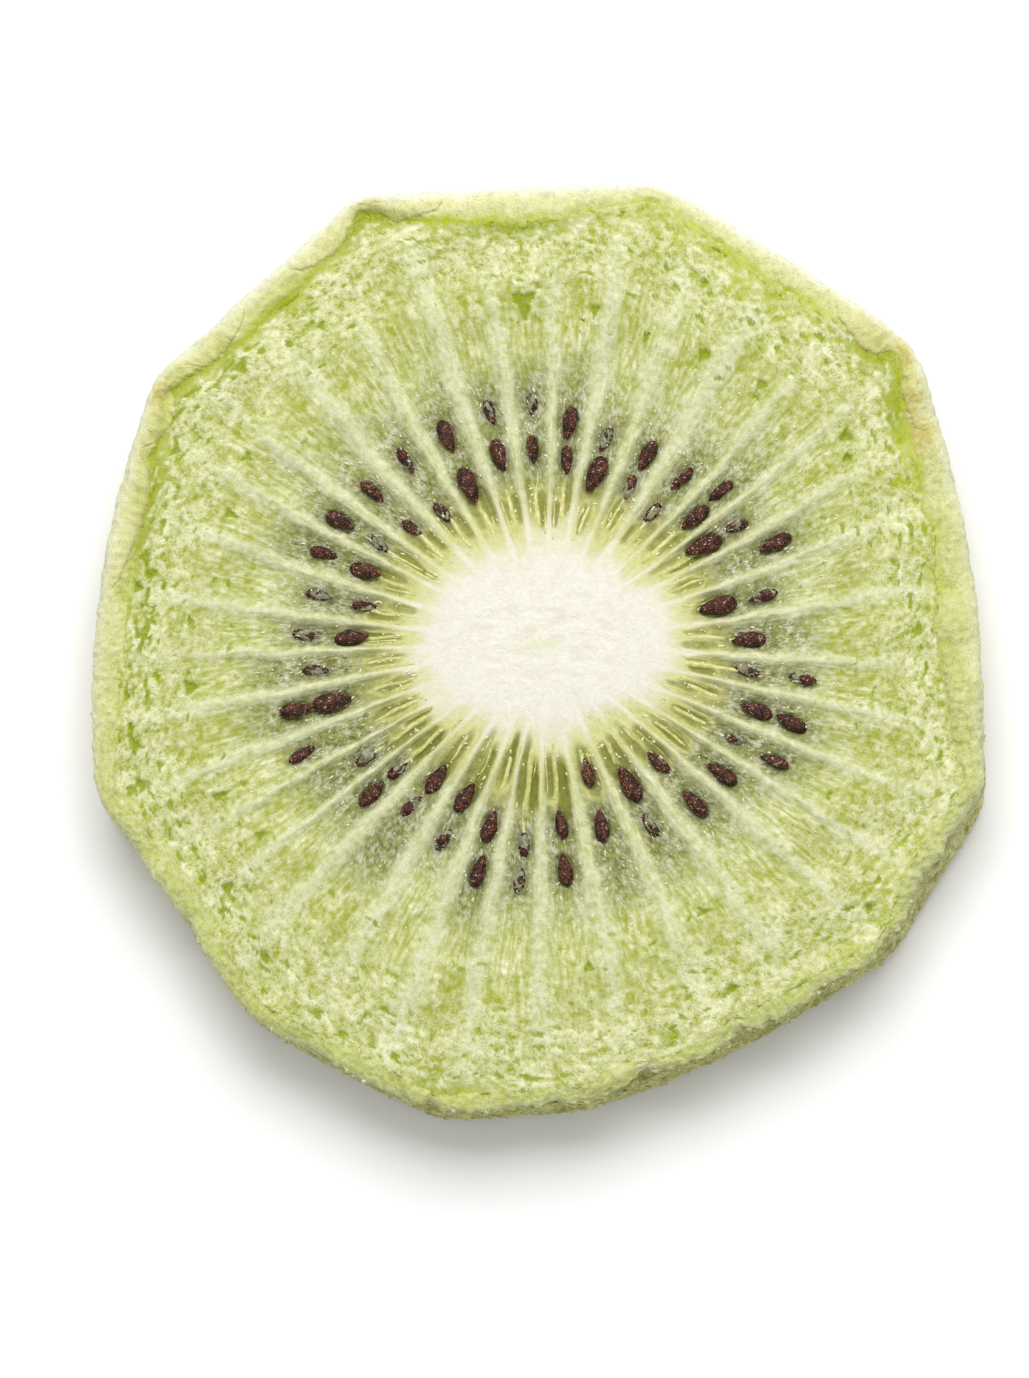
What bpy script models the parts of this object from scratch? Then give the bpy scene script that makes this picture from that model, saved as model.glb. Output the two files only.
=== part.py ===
"""One slice of freeze-dried kiwi, lying flat with its better cut face up.

The slice is one solid. A plain turned disc takes on the outline of the peeled fruit, with its ten soft
corners, the folded rim that curls in over the flesh as it dries, and the rays that stand proud between the
seed chambers. Its seeds are fused to both cut faces.

Lengths are in millimetres and bearings in degrees, anticlockwise from +X, about the middle of the core. MM
turns a length into metres where a mesh is made.
"""

import bmesh
import bpy
import numpy as np
from mathutils import Euler, Matrix, Vector

MM = 0.001

# The middle of the core, as seen from the middle of the slice's box.
CORE_AT = (0.45, 0.21)

# The sides, anticlockwise: bearing of the corner where each starts, that corner's distance from the middle
# of the core, how far the side bows out past its chord, the width of its folded rim, and how far the rim
# curls in, from 0 for a soft shoulder to 1 for a crisp lip.
SIDES = (
    (38.5, 25.7, 0.3, 1.7, 0.3),
    (76.0, 25.9, 0.2, 2.0, 0.5),
    (113.0, 26.7, -0.1, 2.4, 0.9),
    (145.0, 25.9, 1.4, 1.7, 0.8),
    (199.0, 25.8, -0.2, 1.5, 0.5),
    (231.0, 25.9, 0.2, 1.4, 0.4),
    (257.0, 26.3, 0.1, 1.3, 0.3),
    (275.5, 25.2, 0.7, 1.3, 0.3),
    (318.0, 25.1, -0.3, 1.3, 0.3),
    (340.0, 25.1, 1.2, 2.4, 0.9),
)
CORNER_RIM = 0.9  # width of the folded rim where two sides meet
CORNER_SOFTENS = 2.5  # degrees each way that a corner is rounded over
# The wall spreads outward at its foot on one side: how far, at which bearing, over how many degrees.
SKIRT = (0.40, 331.0, 11.0)

# The core is an oval: its half length along X and its half width along Y.
CORE_LONG, CORE_SHORT = 7.8, 6.1

# The chambers between the rays, anticlockwise from the ray at FIRST_RAY: how many degrees each takes up, and
# the seed in its inner and its outer row. A seed's letter says how much of it shows, from B for all of a
# big one to g for a bump under the dried film. Its digit says how many SEED_STEPs it lies out from its
# row's start.
FIRST_RAY = -5.5
WIDTHS = """11 11 9 9 9 11.5 11.5 11.5 10 11 10.5 12.5 12 11.5 8.5 10 10.5 8
            8.5 9.5 8 8 8.5 12.5 11 9.5 10.5 12.5 13 12.5 12 9 9 10 8""".split()
INNER_SEEDS = """b7 B4 .. B5 b6 g3 g4 B4 m5 m6 b6 B4 g3 g4 g6 b6 g5 b6
                 .. B9 .. g8 g6 b4 b4 b6 g7 m5 m0 B3 m3 .. g8 b9 g7""".split()
OUTER_SEEDS = """.. m4 b7 g4 m5 m3 b3 g3 b4 g6 g6 b5 m5 m5 b6 m6 g5 g6
                 g5 b8 m9 .. b5 g3 g4 b6 g6 b5 b1 g3 b4 b4 m8 b8 m8""".split()
INNER_ROW, OUTER_ROW, SEED_STEP = 7.5, 10.0, 0.5
CHAMBERS = len(WIDTHS)
RAY_BEARINGS = FIRST_RAY + np.cumsum([0.0] + [float(width) for width in WIDTHS])
# The rays lean round on their way out: a steady part, a part by sin of twice the bearing, and one by its cos.
LEAN = (0.4, 2.2, 1.5)

# Length, width and thickness of a seed, and how far its crown stands above the flesh.
SEED_SIZES = {
    "B": (2.35, 1.30, 1.00, 0.60),
    "b": (2.15, 1.10, 0.90, 0.50),
    "m": (1.95, 0.95, 0.80, 0.40),
    "g": (1.90, 0.95, 0.80, 0.26),
}
SEED_SIDES, SEED_RINGS = 6, 4
# On the underside a chamber shows at most one seed, by the same letters.
UNDER_SEEDS = "..g.b..m.g.b.m...g.B.g..b.m..g.b..m"

UNDER_SHARE = 0.6  # a seed on the underside stands out this share as far
FLOOR_GAP = 0.02  # and clears the floor by this

# Heights, and the zones of the cut faces that they hold for. A zone is four shares of the way from the
# core's edge to the crease: it comes in between the first two and fades between the last two.
CORE_TOP, CORE_RISE = 4.85, 0.20  # the core's edge, and how much higher its middle is
CHAMBER_DIP, CHAMBER_ZONE = 0.30, (0.0, 0.12, 0.42, 0.72)  # the ring of chambers has sunk
OUTER_RISE, OUTER_ZONE = 0.30, (0.45, 0.80, 0.90, 1.10)  # the outer flesh stands above the core's edge
RAY_HEIGHT, RAY_ZONE = 0.42, (0.0, 0.12, 0.45, 0.92)  # a ray above the floor of the chambers beside it
RAY_WIDTH = 0.17  # half the width of a ray, as a share of the step from one ray to the next
LUMP_HEIGHT, LUMP_ZONE = 0.10, (0.0, 0.3, 9.0, 10.0)  # low swells of the flesh, also over the rim
UNDER_EDGE, UNDER_LIFT = 0.14, 0.42  # how far the flesh and the chambers of the underside clear the floor
UNDER_ZONE = (0.0, 0.14, 0.50, 0.85)
UNDER_RELIEF = 0.55  # the underside's rays and swells are this share as high
UNDER_LEAST = 0.05  # nothing but the foot of the core comes nearer the floor

# Where the rings of the surface run. On the flesh they are shares of the way from the core's edge to the
# crease at the foot of the rim.
CORE_RING = 0.55
TOP_RINGS = (0.0, 0.09, 0.18, 0.27, 0.36, 0.45, 0.56, 0.69, 0.82, 0.95)
UNDER_RINGS = (0.97, 0.74, 0.52, 0.34, 0.18, 0.04)
FLAT_RING = 0.88  # the slice stands on the core's flat underside, out to this share of its radius
WALL_TOP, WALL_FOOT = 4.45, 0.42
# Across the folded rim and down the wall: share of the rim's width, height, and what a full curl adds to
# each: how far in it folds, and how far up.
RIM_RINGS = (
    (0.00, 4.70, 0.00, -0.20),
    (0.14, 4.95, 0.34, 0.35),
    (0.42, 5.25, 0.20, 0.72),
    (0.78, 5.15, 0.04, 0.60),
    (1.00, WALL_TOP, 0.00, 0.30),
    (0.92, 2.90, 0.00, 0.00),
    (1.00, 1.35, 0.00, 0.00),
    (0.72, WALL_FOOT, 0.00, 0.00),
)
STEPS_PER_CHAMBER = 4
STEPS = CHAMBERS * STEPS_PER_CHAMBER

random = np.random.default_rng(5)
LUMP_WAVES = [
    (random.uniform(0, 2 * np.pi), random.uniform(0, 2 * np.pi), random.uniform(1.1, 1.9))
    for _ in range(6)
]


def side_at(bearing):
    """For each bearing: the row of its side, the row of the next one, and how far along the side it is."""
    starts = np.array([side[0] for side in SIDES])
    turned = np.mod(bearing - starts[0], 360)
    row = np.searchsorted(starts - starts[0], turned, side="right") - 1
    following = np.mod(row + 1, len(SIDES))
    length = np.mod(starts[following] - starts[row], 360)
    return row, following, (turned - (starts[row] - starts[0])) / length, length


def softened(rule):
    """The rule averaged over a few degrees each way, which rounds what it does at the corners."""

    def soft(bearing):
        offsets = CORNER_SOFTENS * np.array([-1.0, -0.5, 0.0, 0.5, 1.0])
        return sum(rule(bearing + offset) for offset in offsets) / len(offsets)

    return soft


@softened
def outline(bearing):
    """Distance from the middle of the core to the outside of the rim."""
    row, following, along, length = side_at(bearing)
    corners = np.array([side[1] for side in SIDES])
    bow = np.array([side[2] for side in SIDES])[row]
    near, far, turn = corners[row], corners[following], np.radians(length)
    chord = near * far * np.sin(turn)
    chord = chord / (near * np.sin(turn * along) + far * np.sin(turn * (1 - along)))
    return chord + 4 * bow * along * (1 - along)


@softened
def rim_width(bearing):
    """The folded rim narrows to a crease where two sides meet."""
    row, _, along, _ = side_at(bearing)
    width = np.array([side[3] for side in SIDES])[row]
    return CORNER_RIM + (width - CORNER_RIM) * np.sqrt(4 * along * (1 - along))


@softened
def curl(bearing):
    """How far the rim curls in, turning evenly from one side's to the next."""
    row, following, along, _ = side_at(bearing)
    curls = np.array([side[4] for side in SIDES])
    return curls[row] * (1 - along**4) + curls[following] * along**4


def skirt(bearing):
    """How far the foot of the wall spreads past the rim."""
    reach, middle, spread = SKIRT
    away = np.mod(bearing - middle + 180, 360) - 180
    return reach * np.exp(-((away / spread) ** 2))


def core_edge(bearing):
    """Radius of the oval core at a bearing."""
    turn = np.radians(bearing)
    return 1 / np.hypot(np.cos(turn) / CORE_LONG, np.sin(turn) / CORE_SHORT)


def crease(bearing):
    """Radius of the crease at the foot of the rim."""
    return outline(bearing) - rim_width(bearing)


def bearing_at(phase, out):
    """Bearing of a line that keeps its place between the rays, a share out of the way to the rim."""
    plain = np.interp(np.mod(phase, CHAMBERS), np.arange(CHAMBERS + 1), RAY_BEARINGS)
    turn = np.radians(plain)
    return plain + out * (LEAN[0] + LEAN[1] * np.sin(2 * turn) + LEAN[2] * np.cos(turn))


def smooth_step(low, high, value):
    """0 below low, 1 above high, and an even turn between."""
    share = np.clip((value - low) / (high - low), 0, 1)
    return share * share * (3 - 2 * share)


def within(zone, out):
    """1 inside a zone and 0 outside it, with even turns at both ends."""
    return smooth_step(zone[0], zone[1], out) * (1 - smooth_step(zone[2], zone[3], out))


def ray(phase, out):
    """1 on the crest of a ray and 0 between rays, fading in at the core and out before the rim."""
    off_crest = np.abs(phase - np.round(phase))
    return np.exp(-((off_crest / RAY_WIDTH) ** 2)) * within(RAY_ZONE, out)


def lumps(radius, bearing):
    """Low swells of the dried flesh: a few crossing waves."""
    x, y = radius * np.cos(np.radians(bearing)), radius * np.sin(np.radians(bearing))
    waves = [
        np.sin(pitch * (x * np.cos(heading) + y * np.sin(heading)) + start)
        for heading, start, pitch in LUMP_WAVES
    ]
    return LUMP_HEIGHT * sum(waves) / np.sqrt(len(waves))


def top_height(phase, out, radius, bearing):
    """Height of the upper cut face between the core's edge and the crease."""
    sunk = CHAMBER_DIP * within(CHAMBER_ZONE, out)
    raised = OUTER_RISE * within(OUTER_ZONE, out) + RAY_HEIGHT * ray(phase, out)
    return CORE_TOP - sunk + raised + lumps(radius, bearing) * within(LUMP_ZONE, out)


def under_height(phase, out, radius, bearing):
    """Height of the lower cut face, which stands on the core and clears the floor elsewhere."""
    off_core = smooth_step(*UNDER_ZONE[:2], out)
    height = UNDER_EDGE * off_core + (UNDER_LIFT - UNDER_EDGE) * within(UNDER_ZONE, out)
    relief = lumps(-radius, bearing) * within(LUMP_ZONE, out) - RAY_HEIGHT * ray(phase, out)
    return np.maximum(height + UNDER_RELIEF * relief, UNDER_LEAST * off_core)


def radius_at(out, bearing):
    """Radius of a share out of the way from the core's edge to the crease."""
    return core_edge(bearing) * (1 - out) + crease(bearing) * out


def section(phases):
    """(x, y, z) rings of the slice: from the top of its core, over the rim, to the flat foot of its core."""
    rings = []

    def add(radius, bearing, height):
        turn = np.radians(bearing)
        rings.append(np.stack([radius * np.cos(turn), radius * np.sin(turn), height + 0 * radius], axis=1))

    inner = bearing_at(phases, 0.0)
    add(CORE_RING * core_edge(inner), inner, CORE_TOP + CORE_RISE * (1 - CORE_RING**2))
    for out in TOP_RINGS:
        bearing = bearing_at(phases, out)
        radius = radius_at(out, bearing)
        add(radius, bearing, top_height(phases, out, radius, bearing))
    rim = bearing_at(phases, 1.0)
    for across, height, inward, upward in RIM_RINGS:
        width, folded = rim_width(rim), curl(rim)
        foot = 1 - smooth_step(WALL_FOOT, WALL_TOP, height)
        radius = outline(rim) - (1 - across + inward * folded) * width + skirt(rim) * foot
        add(radius, rim, height + upward * folded + lumps(radius, rim))
    for out in UNDER_RINGS:
        bearing = bearing_at(phases, out)
        radius = radius_at(out, bearing)
        add(radius, bearing, under_height(phases, out, radius, bearing))
    add(FLAT_RING * core_edge(inner), inner, 0.0)
    return rings


def turned_blank(ring_count):
    """A plain disc turned from a profile that has one point for each ring, with a pole at each end."""
    turns = np.linspace(0, np.pi, ring_count + 2)
    points = [(np.sin(turn), 0, np.cos(turn)) for turn in turns]
    points[0], points[-1] = (0, 0, 1), (0, 0, -1)
    profile = bpy.data.meshes.new("profile")
    profile.from_pydata(points, [(i, i + 1) for i in range(len(points) - 1)], [])
    blank = bpy.data.objects.new("blank", profile)
    bpy.context.scene.collection.objects.link(blank)
    screw = blank.modifiers.new("turn", "SCREW")
    screw.steps = screw.render_steps = STEPS
    screw.use_merge_vertices = True
    screw.merge_threshold = 0.0001
    mesh = bpy.data.meshes.new_from_object(blank.evaluated_get(bpy.context.evaluated_depsgraph_get()))
    bpy.data.objects.remove(blank)
    bpy.data.meshes.remove(profile)
    return mesh


def slice_object(collection, material):
    """The slice without its seeds: each point of the blank moves to its ring and step on the dried slice."""
    rings = np.stack(section(np.arange(STEPS) / STEPS_PER_CHAMBER))
    mesh = turned_blank(len(rings))
    plain = np.empty(len(mesh.vertices) * 3, np.float32)
    mesh.vertices.foreach_get("co", plain)
    plain = plain.reshape(-1, 3)
    ring = np.rint(np.arccos(np.clip(plain[:, 2], -1, 1)) / np.pi * (len(rings) + 1)).astype(int)
    step = np.rint(np.arctan2(plain[:, 1], plain[:, 0]) / (2 * np.pi) * STEPS).astype(int) % STEPS
    placed = rings[np.clip(ring - 1, 0, len(rings) - 1), step]
    placed[ring == 0] = (0, 0, CORE_TOP + CORE_RISE)
    placed[ring == len(rings) + 1] = (0, 0, 0)
    placed[:, :2] += CORE_AT
    mesh.vertices.foreach_set("co", (placed * MM).ravel())
    mesh.materials.append(material)
    mesh.update()
    built = bpy.data.objects.new("kiwi_slice", mesh)
    collection.objects.link(built)
    return built


def seed_mesh(material):
    """A seed of unit half length along X: blunt at its outer end and drawn to a point at the other."""
    form = bmesh.new()
    bmesh.ops.create_uvsphere(
        form,
        u_segments=SEED_SIDES,
        v_segments=SEED_RINGS,
        radius=1,
        matrix=Matrix.Rotation(np.pi / 2, 4, "Y"),
    )
    for vertex in form.verts:
        vertex.co.yz *= 0.86 + 0.20 * vertex.co.x
    mesh = bpy.data.meshes.new("seed")
    form.to_mesh(mesh)
    form.free()
    mesh.materials.append(material)
    return mesh


def place_seed(collection, mesh, letter, phase, radius, under=False):
    """One seed, bedded in its chamber with its point to the core."""
    length, width, thickness, proud = SEED_SIZES[letter]
    twist, aside = random.uniform(-9, 9), random.uniform(-0.06, 0.06)
    inner = bearing_at(phase, 0.0)
    out = float((radius - core_edge(inner)) / (crease(inner) - core_edge(inner)))
    bearing = float(bearing_at(phase + aside, out))
    if under:
        height = float(under_height(phase, out, radius, bearing)) + thickness / 2 - UNDER_SHARE * proud
        height = max(height, thickness / 2 + FLOOR_GAP)
    else:
        height = float(top_height(phase, out, radius, bearing)) + proud - thickness / 2
    turn = np.radians(bearing)
    seed = bpy.data.objects.new("seed", mesh)
    east, north = radius * np.cos(turn) + CORE_AT[0], radius * np.sin(turn) + CORE_AT[1]
    seed.location = Vector((east, north, height)) * MM
    seed.rotation_euler = Euler((0, 0, turn + np.radians(twist)))
    seed.scale = Vector((length, width, thickness)) * MM / 2
    collection.objects.link(seed)


def add_seeds(collection, mesh):
    """Two rows of seeds on the upper face, and one scattered row on the lower."""
    for chamber in range(CHAMBERS):
        phase = chamber + 0.5
        for row, start in ((INNER_SEEDS, INNER_ROW), (OUTER_SEEDS, OUTER_ROW)):
            letter, reach = row[chamber]
            if letter != ".":
                place_seed(collection, mesh, letter, phase, start + SEED_STEP * int(reach))
        if UNDER_SEEDS[chamber] != ".":
            radius = random.uniform(INNER_ROW + 2, OUTER_ROW + 3)
            place_seed(collection, mesh, UNDER_SEEDS[chamber], phase, radius, under=True)


def fused(body, toppings):
    """The body with a collection's objects joined to it by one union, and the collection emptied."""
    union = body.modifiers.new("seeds", "BOOLEAN")
    union.operation = "UNION"
    union.operand_type = "COLLECTION"
    union.collection = toppings
    union.solver = "EXACT"
    union.material_mode = "TRANSFER"
    bpy.context.view_layer.update()
    whole = bpy.data.meshes.new_from_object(body.evaluated_get(bpy.context.evaluated_depsgraph_get()))
    body.modifiers.clear()
    body.data = whole
    for topping in list(toppings.objects):
        bpy.data.objects.remove(topping)
    bpy.data.collections.remove(toppings)
    return body


def plain_material(name, colour, roughness):
    """A Principled material of one colour."""
    material = bpy.data.materials.new(name)
    material.use_nodes = True
    shader = material.node_tree.nodes["Principled BSDF"]
    shader.inputs["Base Color"].default_value = (*colour, 1)
    shader.inputs["Roughness"].default_value = roughness
    shader.inputs["Metallic"].default_value = 0
    material.diffuse_color = (*colour, 1)
    return material


def main():
    for old in list(bpy.data.objects):
        bpy.data.objects.remove(old)
    parts = bpy.data.collections.new("dried_kiwi_slice")
    seeds = bpy.data.collections.new("seeds")
    for collection in (parts, seeds):
        bpy.context.scene.collection.children.link(collection)
    body = slice_object(parts, plain_material("dried_flesh", (0.60, 0.66, 0.31), 0.75))
    add_seeds(seeds, seed_mesh(plain_material("seed_coat", (0.055, 0.018, 0.012), 0.35)))
    body = fused(body, seeds)
    body.data.shade_smooth()
    body.data.set_sharp_from_angle(angle=np.radians(50))


main()
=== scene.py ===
"""One slice of freeze-dried kiwi: seed ring, pith, flesh, folded rim, flaps, seeds, strands, sugar, crumbs.

Each piece keeps the form of the solid slice and adds the finer relief of dried fruit. Lengths are in
millimetres and bearings in degrees, anticlockwise from +X, about the middle of the core. MM turns a length
into metres where a mesh is made.
"""

import bpy
import numpy as np
from mathutils import Matrix, Vector


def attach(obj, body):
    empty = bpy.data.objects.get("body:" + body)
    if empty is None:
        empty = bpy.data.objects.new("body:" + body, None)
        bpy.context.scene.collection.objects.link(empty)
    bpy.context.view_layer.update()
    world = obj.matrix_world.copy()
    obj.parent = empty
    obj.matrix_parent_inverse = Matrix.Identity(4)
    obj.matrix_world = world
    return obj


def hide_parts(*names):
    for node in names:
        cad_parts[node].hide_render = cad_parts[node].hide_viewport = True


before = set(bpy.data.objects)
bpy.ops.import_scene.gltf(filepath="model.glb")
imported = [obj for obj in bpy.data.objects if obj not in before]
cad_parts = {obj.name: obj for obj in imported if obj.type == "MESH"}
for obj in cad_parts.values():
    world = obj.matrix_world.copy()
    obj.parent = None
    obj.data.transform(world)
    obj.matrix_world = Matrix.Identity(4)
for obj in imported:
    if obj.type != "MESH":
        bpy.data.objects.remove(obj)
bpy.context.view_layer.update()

# ---------------------------------------------------------------------------------------------- camera
# The camera looks down on the slice as it lies, eight degrees off the upright towards the lower right, so
# that a strip of the slice's wall shows there. It stands a hand's reach away with a long lens.
MM = 0.001
CORE_AT = (0.45, 0.21)  # the middle of the core, as seen from the middle of the slice's box
VIEW_BEARING, VIEW_ELEVATION, VIEW_DISTANCE = 292.0, 82.0, 310.0
VIEW_HEIGHT = 5.0  # the camera is aimed on this level
FRAME_MIDDLE = (-1.647, -2.646)  # the middle of the picture as seen from the core: right, and up
LENS, SENSOR, CLIP_START = 150, 36, 0.01

view_turn, view_rise = np.radians(VIEW_BEARING), np.radians(VIEW_ELEVATION)
flat = np.cos(view_rise)
back = Vector((flat * np.cos(view_turn), flat * np.sin(view_turn), np.sin(view_rise)))
right = Vector((0, 1, 0)).cross(back).normalized()
up = back.cross(right)
aim = Vector((*CORE_AT, VIEW_HEIGHT)) + FRAME_MIDDLE[0] * right + FRAME_MIDDLE[1] * up
camera = bpy.data.objects.new("camera", bpy.data.cameras.new("camera"))
bpy.context.scene.collection.objects.link(camera)
camera.matrix_world = Matrix.Translation((aim + VIEW_DISTANCE * back) * MM) @ (
    Matrix((right, up, back)).transposed().to_4x4()
)
camera.data.lens, camera.data.sensor_width = LENS, SENSOR
camera.data.clip_start = CLIP_START
bpy.context.scene.camera = camera

# ------------------------------------------------------------------------------------------- seed ring
# The ring of seed chambers round the core. Pale rays stand up between the chambers, which sank as the fruit
# dried; one or two olive pockets open at the core's end of each, and a grey film lies over floor and seeds.
# The outline of the whole slice is worked out here, as the ring runs a share of the way out to the rim.

# The sides, anticlockwise: bearing of the corner where each starts, that corner's distance from the middle
# of the core, how far the side bows out past its chord, the width of its folded rim, and how far it curls.
SIDES = (
    (38.5, 25.7, 0.3, 1.7, 0.3),
    (76.0, 25.9, 0.2, 2.0, 0.5),
    (113.0, 26.7, -0.1, 2.4, 0.9),
    (145.0, 25.9, 1.4, 1.7, 0.8),
    (199.0, 25.8, -0.2, 1.5, 0.5),
    (231.0, 25.9, 0.2, 1.4, 0.4),
    (257.0, 26.3, 0.1, 1.3, 0.3),
    (275.5, 25.2, 0.7, 1.3, 0.3),
    (318.0, 25.1, -0.3, 1.3, 0.3),
    (340.0, 25.1, 1.2, 2.4, 0.9),
)
CORNER_RIM, CORNER_SOFTENS = 0.9, 2.5  # width of the rim at a corner, and degrees that corners round over
CORE_LONG, CORE_SHORT = 7.8, 6.1  # half length of the oval core along X, and half width along Y

# The chambers, anticlockwise from the ray at FIRST_RAY: degrees each takes up, and the seed in its inner
# and its outer row. A seed's letter says how much of it shows, from B for all of a big one to g for a bump
# under the dried film. Its digit says how many SEED_STEPs it lies out from its row's start.
FIRST_RAY = -5.5
WIDTHS = """11 11 9 9 9 11.5 11.5 11.5 10 11 10.5 12.5 12 11.5 8.5 10 10.5 8
            8.5 9.5 8 8 8.5 12.5 11 9.5 10.5 12.5 13 12.5 12 9 9 10 8""".split()
INNER_SEEDS = """b7 B4 .. B5 b6 g3 g4 B4 m5 m6 b6 B4 g3 g4 g6 b6 g5 b6
                 .. B9 .. g8 g6 b4 b4 b6 g7 m5 m0 B3 m3 .. g8 b9 g7""".split()
OUTER_SEEDS = """.. m4 b7 g4 m5 m3 b3 g3 b4 g6 g6 b5 m5 m5 b6 m6 g5 g6
                 g5 b8 m9 .. b5 g3 g4 b6 g6 b5 b1 g3 b4 b4 m8 b8 m8""".split()
UNDER_SEEDS = "..g.b..m.g.b.m...g.B.g..b.m..g.b..m"  # on the underside, at most one a chamber
INNER_ROW, OUTER_ROW, SEED_STEP = 7.5, 10.0, 0.5
SEED_TWIST, SEED_ASIDE = 9, 0.06  # how far askew a seed may lie, in degrees, and aside, in chambers
CHAMBERS = len(WIDTHS)
RAY_BEARINGS = FIRST_RAY + np.cumsum([0.0] + [float(width) for width in WIDTHS])
LEAN = (0.4, 2.2, 1.5)  # the rays lean round: a steady part, by sin of twice the bearing, and by its cos

# Length, width and thickness of a seed, and how far its crown stands above the flesh.
SEED_SIZES = {
    "B": (2.16, 1.15, 1.00, 0.60),
    "b": (1.86, 0.94, 0.88, 0.50),
    "m": (1.64, 0.78, 0.78, 0.40),
    "g": (1.60, 0.80, 0.78, 0.26),
}
SEED_COVER = {"B": -0.55, "b": -0.40, "m": 0.0, "g": 0.55}  # how much of it the film hides, from -1 to 1
UNDER_SHARE, FLOOR_GAP = 0.6, 0.02  # seeds below stand out this share as far, and clear the floor

# Heights, and the zones they hold for: four shares of the way from the core's edge to the crease, between
# the first two of which a form comes in, and between the last two of which it fades.
CORE_TOP, CORE_RISE = 4.85, 0.20
CHAMBER_DIP, CHAMBER_ZONE = 0.30, (0.0, 0.12, 0.42, 0.72)
OUTER_RISE, OUTER_ZONE = 0.30, (0.45, 0.80, 0.90, 1.10)
RAY_HEIGHT, RAY_ZONE = 0.28, (0.0, 0.12, 0.45, 0.92)
LUMP_HEIGHT, LUMP_ZONE = 0.10, (0.0, 0.3, 9.0, 10.0)
UNDER_EDGE, UNDER_LIFT, UNDER_ZONE = 0.14, 0.42, (0.0, 0.14, 0.50, 0.85)
UNDER_RELIEF, UNDER_LEAST = 0.55, 0.05
UNDER_LAYER = 31.5  # the underside takes its noise from this layer, and so differs from the top
CREASE_HEIGHT, CREASE_SINKS = 5.20, 0.60  # the crease at the rim's foot, and how much a curl sinks it
# Where the curled rim stands as a lip over its crease: bearing, spread, and how far, from 0 to 1. Elsewhere
# flesh and rim ran together. Bays are where the crease cuts out into the rim: bearing, spread, millimetres.
LIPS = ((35, 8, 1.0), (109, 7, 0.7), (130, 12, 0.35), (152, 13, 0.9), (170, 8, 0.6), (352, 10, 0.8),
        (258, 4, 0.6))
BAYS = ((38.5, 1.5, 0.45), (113, 1.6, 0.50), (137.7, 1.4, 0.35), (148, 1.5, 0.25), (162, 2, 0.15),
        (24, 3, 0.2), (129, 11, 0.7), (14, 8, 0.7))
# Where the fold at the rim's foot has painted glow, its green made brighter as light comes through the
# thin flesh there: bearing, spread, how strongly.
GREEN_FOLDS = ((128, 26, 0.9), (62, 24, 0.8), (35, 8, 0.9), (101, 9, 0.7), (160, 13, 0.6), (5, 18, 0.4),
               (259, 5, 0.8), (200, 25, 0.3), (322, 16, 0.5), (25, 8, 0.7))
# Where painted shade makes the fold its deepest green, in the recesses behind the flaps: bearing and spread.
SHADED_RECESSES = ((42, 5), (33, 5), (110, 4.5), (115, 2.5), (138, 2.0), (147, 4), (129, 3), (165, 6), (90, 5),
              (98, 5), (157, 5), (258, 5))

random = np.random.default_rng(5)
LUMP_WAVES = [
    (random.uniform(0, 2 * np.pi), random.uniform(0, 2 * np.pi), random.uniform(1.1, 1.9))
    for _ in range(6)
]


def side_at(bearing):
    """For each bearing: the row of its side, the row of the next one, and how far along the side it is."""
    starts = np.array([side[0] for side in SIDES])
    turned = np.mod(bearing - starts[0], 360)
    row = np.searchsorted(starts - starts[0], turned, side="right") - 1
    following = np.mod(row + 1, len(SIDES))
    length = np.mod(starts[following] - starts[row], 360)
    return row, following, (turned - (starts[row] - starts[0])) / length, length


def softened(rule):
    """The rule averaged over a few degrees each way, which rounds what it does at the corners."""

    def soft(bearing):
        offsets = CORNER_SOFTENS * np.array([-1.0, -0.5, 0.0, 0.5, 1.0])
        return sum(rule(bearing + offset) for offset in offsets) / len(offsets)

    return soft


@softened
def outline(bearing):
    """Distance from the core's middle to the rim: the chord between corners, plus its bow, a parabola."""
    row, following, along, length = side_at(bearing)
    corners = np.array([side[1] for side in SIDES])
    bow = np.array([side[2] for side in SIDES])[row]
    near, far, turn = corners[row], corners[following], np.radians(length)
    chord = near * far * np.sin(turn)
    chord = chord / (near * np.sin(turn * along) + far * np.sin(turn * (1 - along)))
    return chord + 4 * bow * along * (1 - along)


@softened
def rim_width(bearing):
    """Width of the folded rim: the side's own in its middle, narrowing by a half ellipse to the corners."""
    row, _, along, _ = side_at(bearing)
    width = np.array([side[3] for side in SIDES])[row]
    return CORNER_RIM + (width - CORNER_RIM) * np.sqrt(4 * along * (1 - along))


@softened
def curl(bearing):
    """How far the rim curls in: one side's share turns to the next one's by the fourth power of the way."""
    row, following, along, _ = side_at(bearing)
    curls = np.array([side[4] for side in SIDES])
    return curls[row] * (1 - along**4) + curls[following] * along**4


def core_edge(bearing):
    """Radius of the oval core: one over the length of (cos / half length, sin / half width)."""
    turn = np.radians(bearing)
    return 1 / np.hypot(np.cos(turn) / CORE_LONG, np.sin(turn) / CORE_SHORT)


def crease(bearing):
    """Radius of the crease at the foot of the rim, which wavers as the rim shrank unevenly."""
    turns = bearing * TABLE / 360
    waver = 0.18 * noise(turns, 0.0, 50.5) + 0.12 * noise(turns * 3, 0.0, 52.5)
    waver = waver + 0.05 * noise(turns * 8, 0.0, 54.5)
    return outline(bearing) - rim_width(bearing) + waver + bells(bearing, BAYS)


def lip_curl(bearing):
    """How far the rim stands as a lip over its crease: its curl, less where flesh and rim ran together."""
    return curl(bearing) * (0.15 + 0.85 * np.clip(bells(bearing, LIPS), 0, 1))


def fold_glow(bearing):
    """How strongly the painted green glow shows in the fold at the rim's foot, from 0 to 1."""
    return np.clip(bells(bearing, GREEN_FOLDS), 0, 1)


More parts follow.
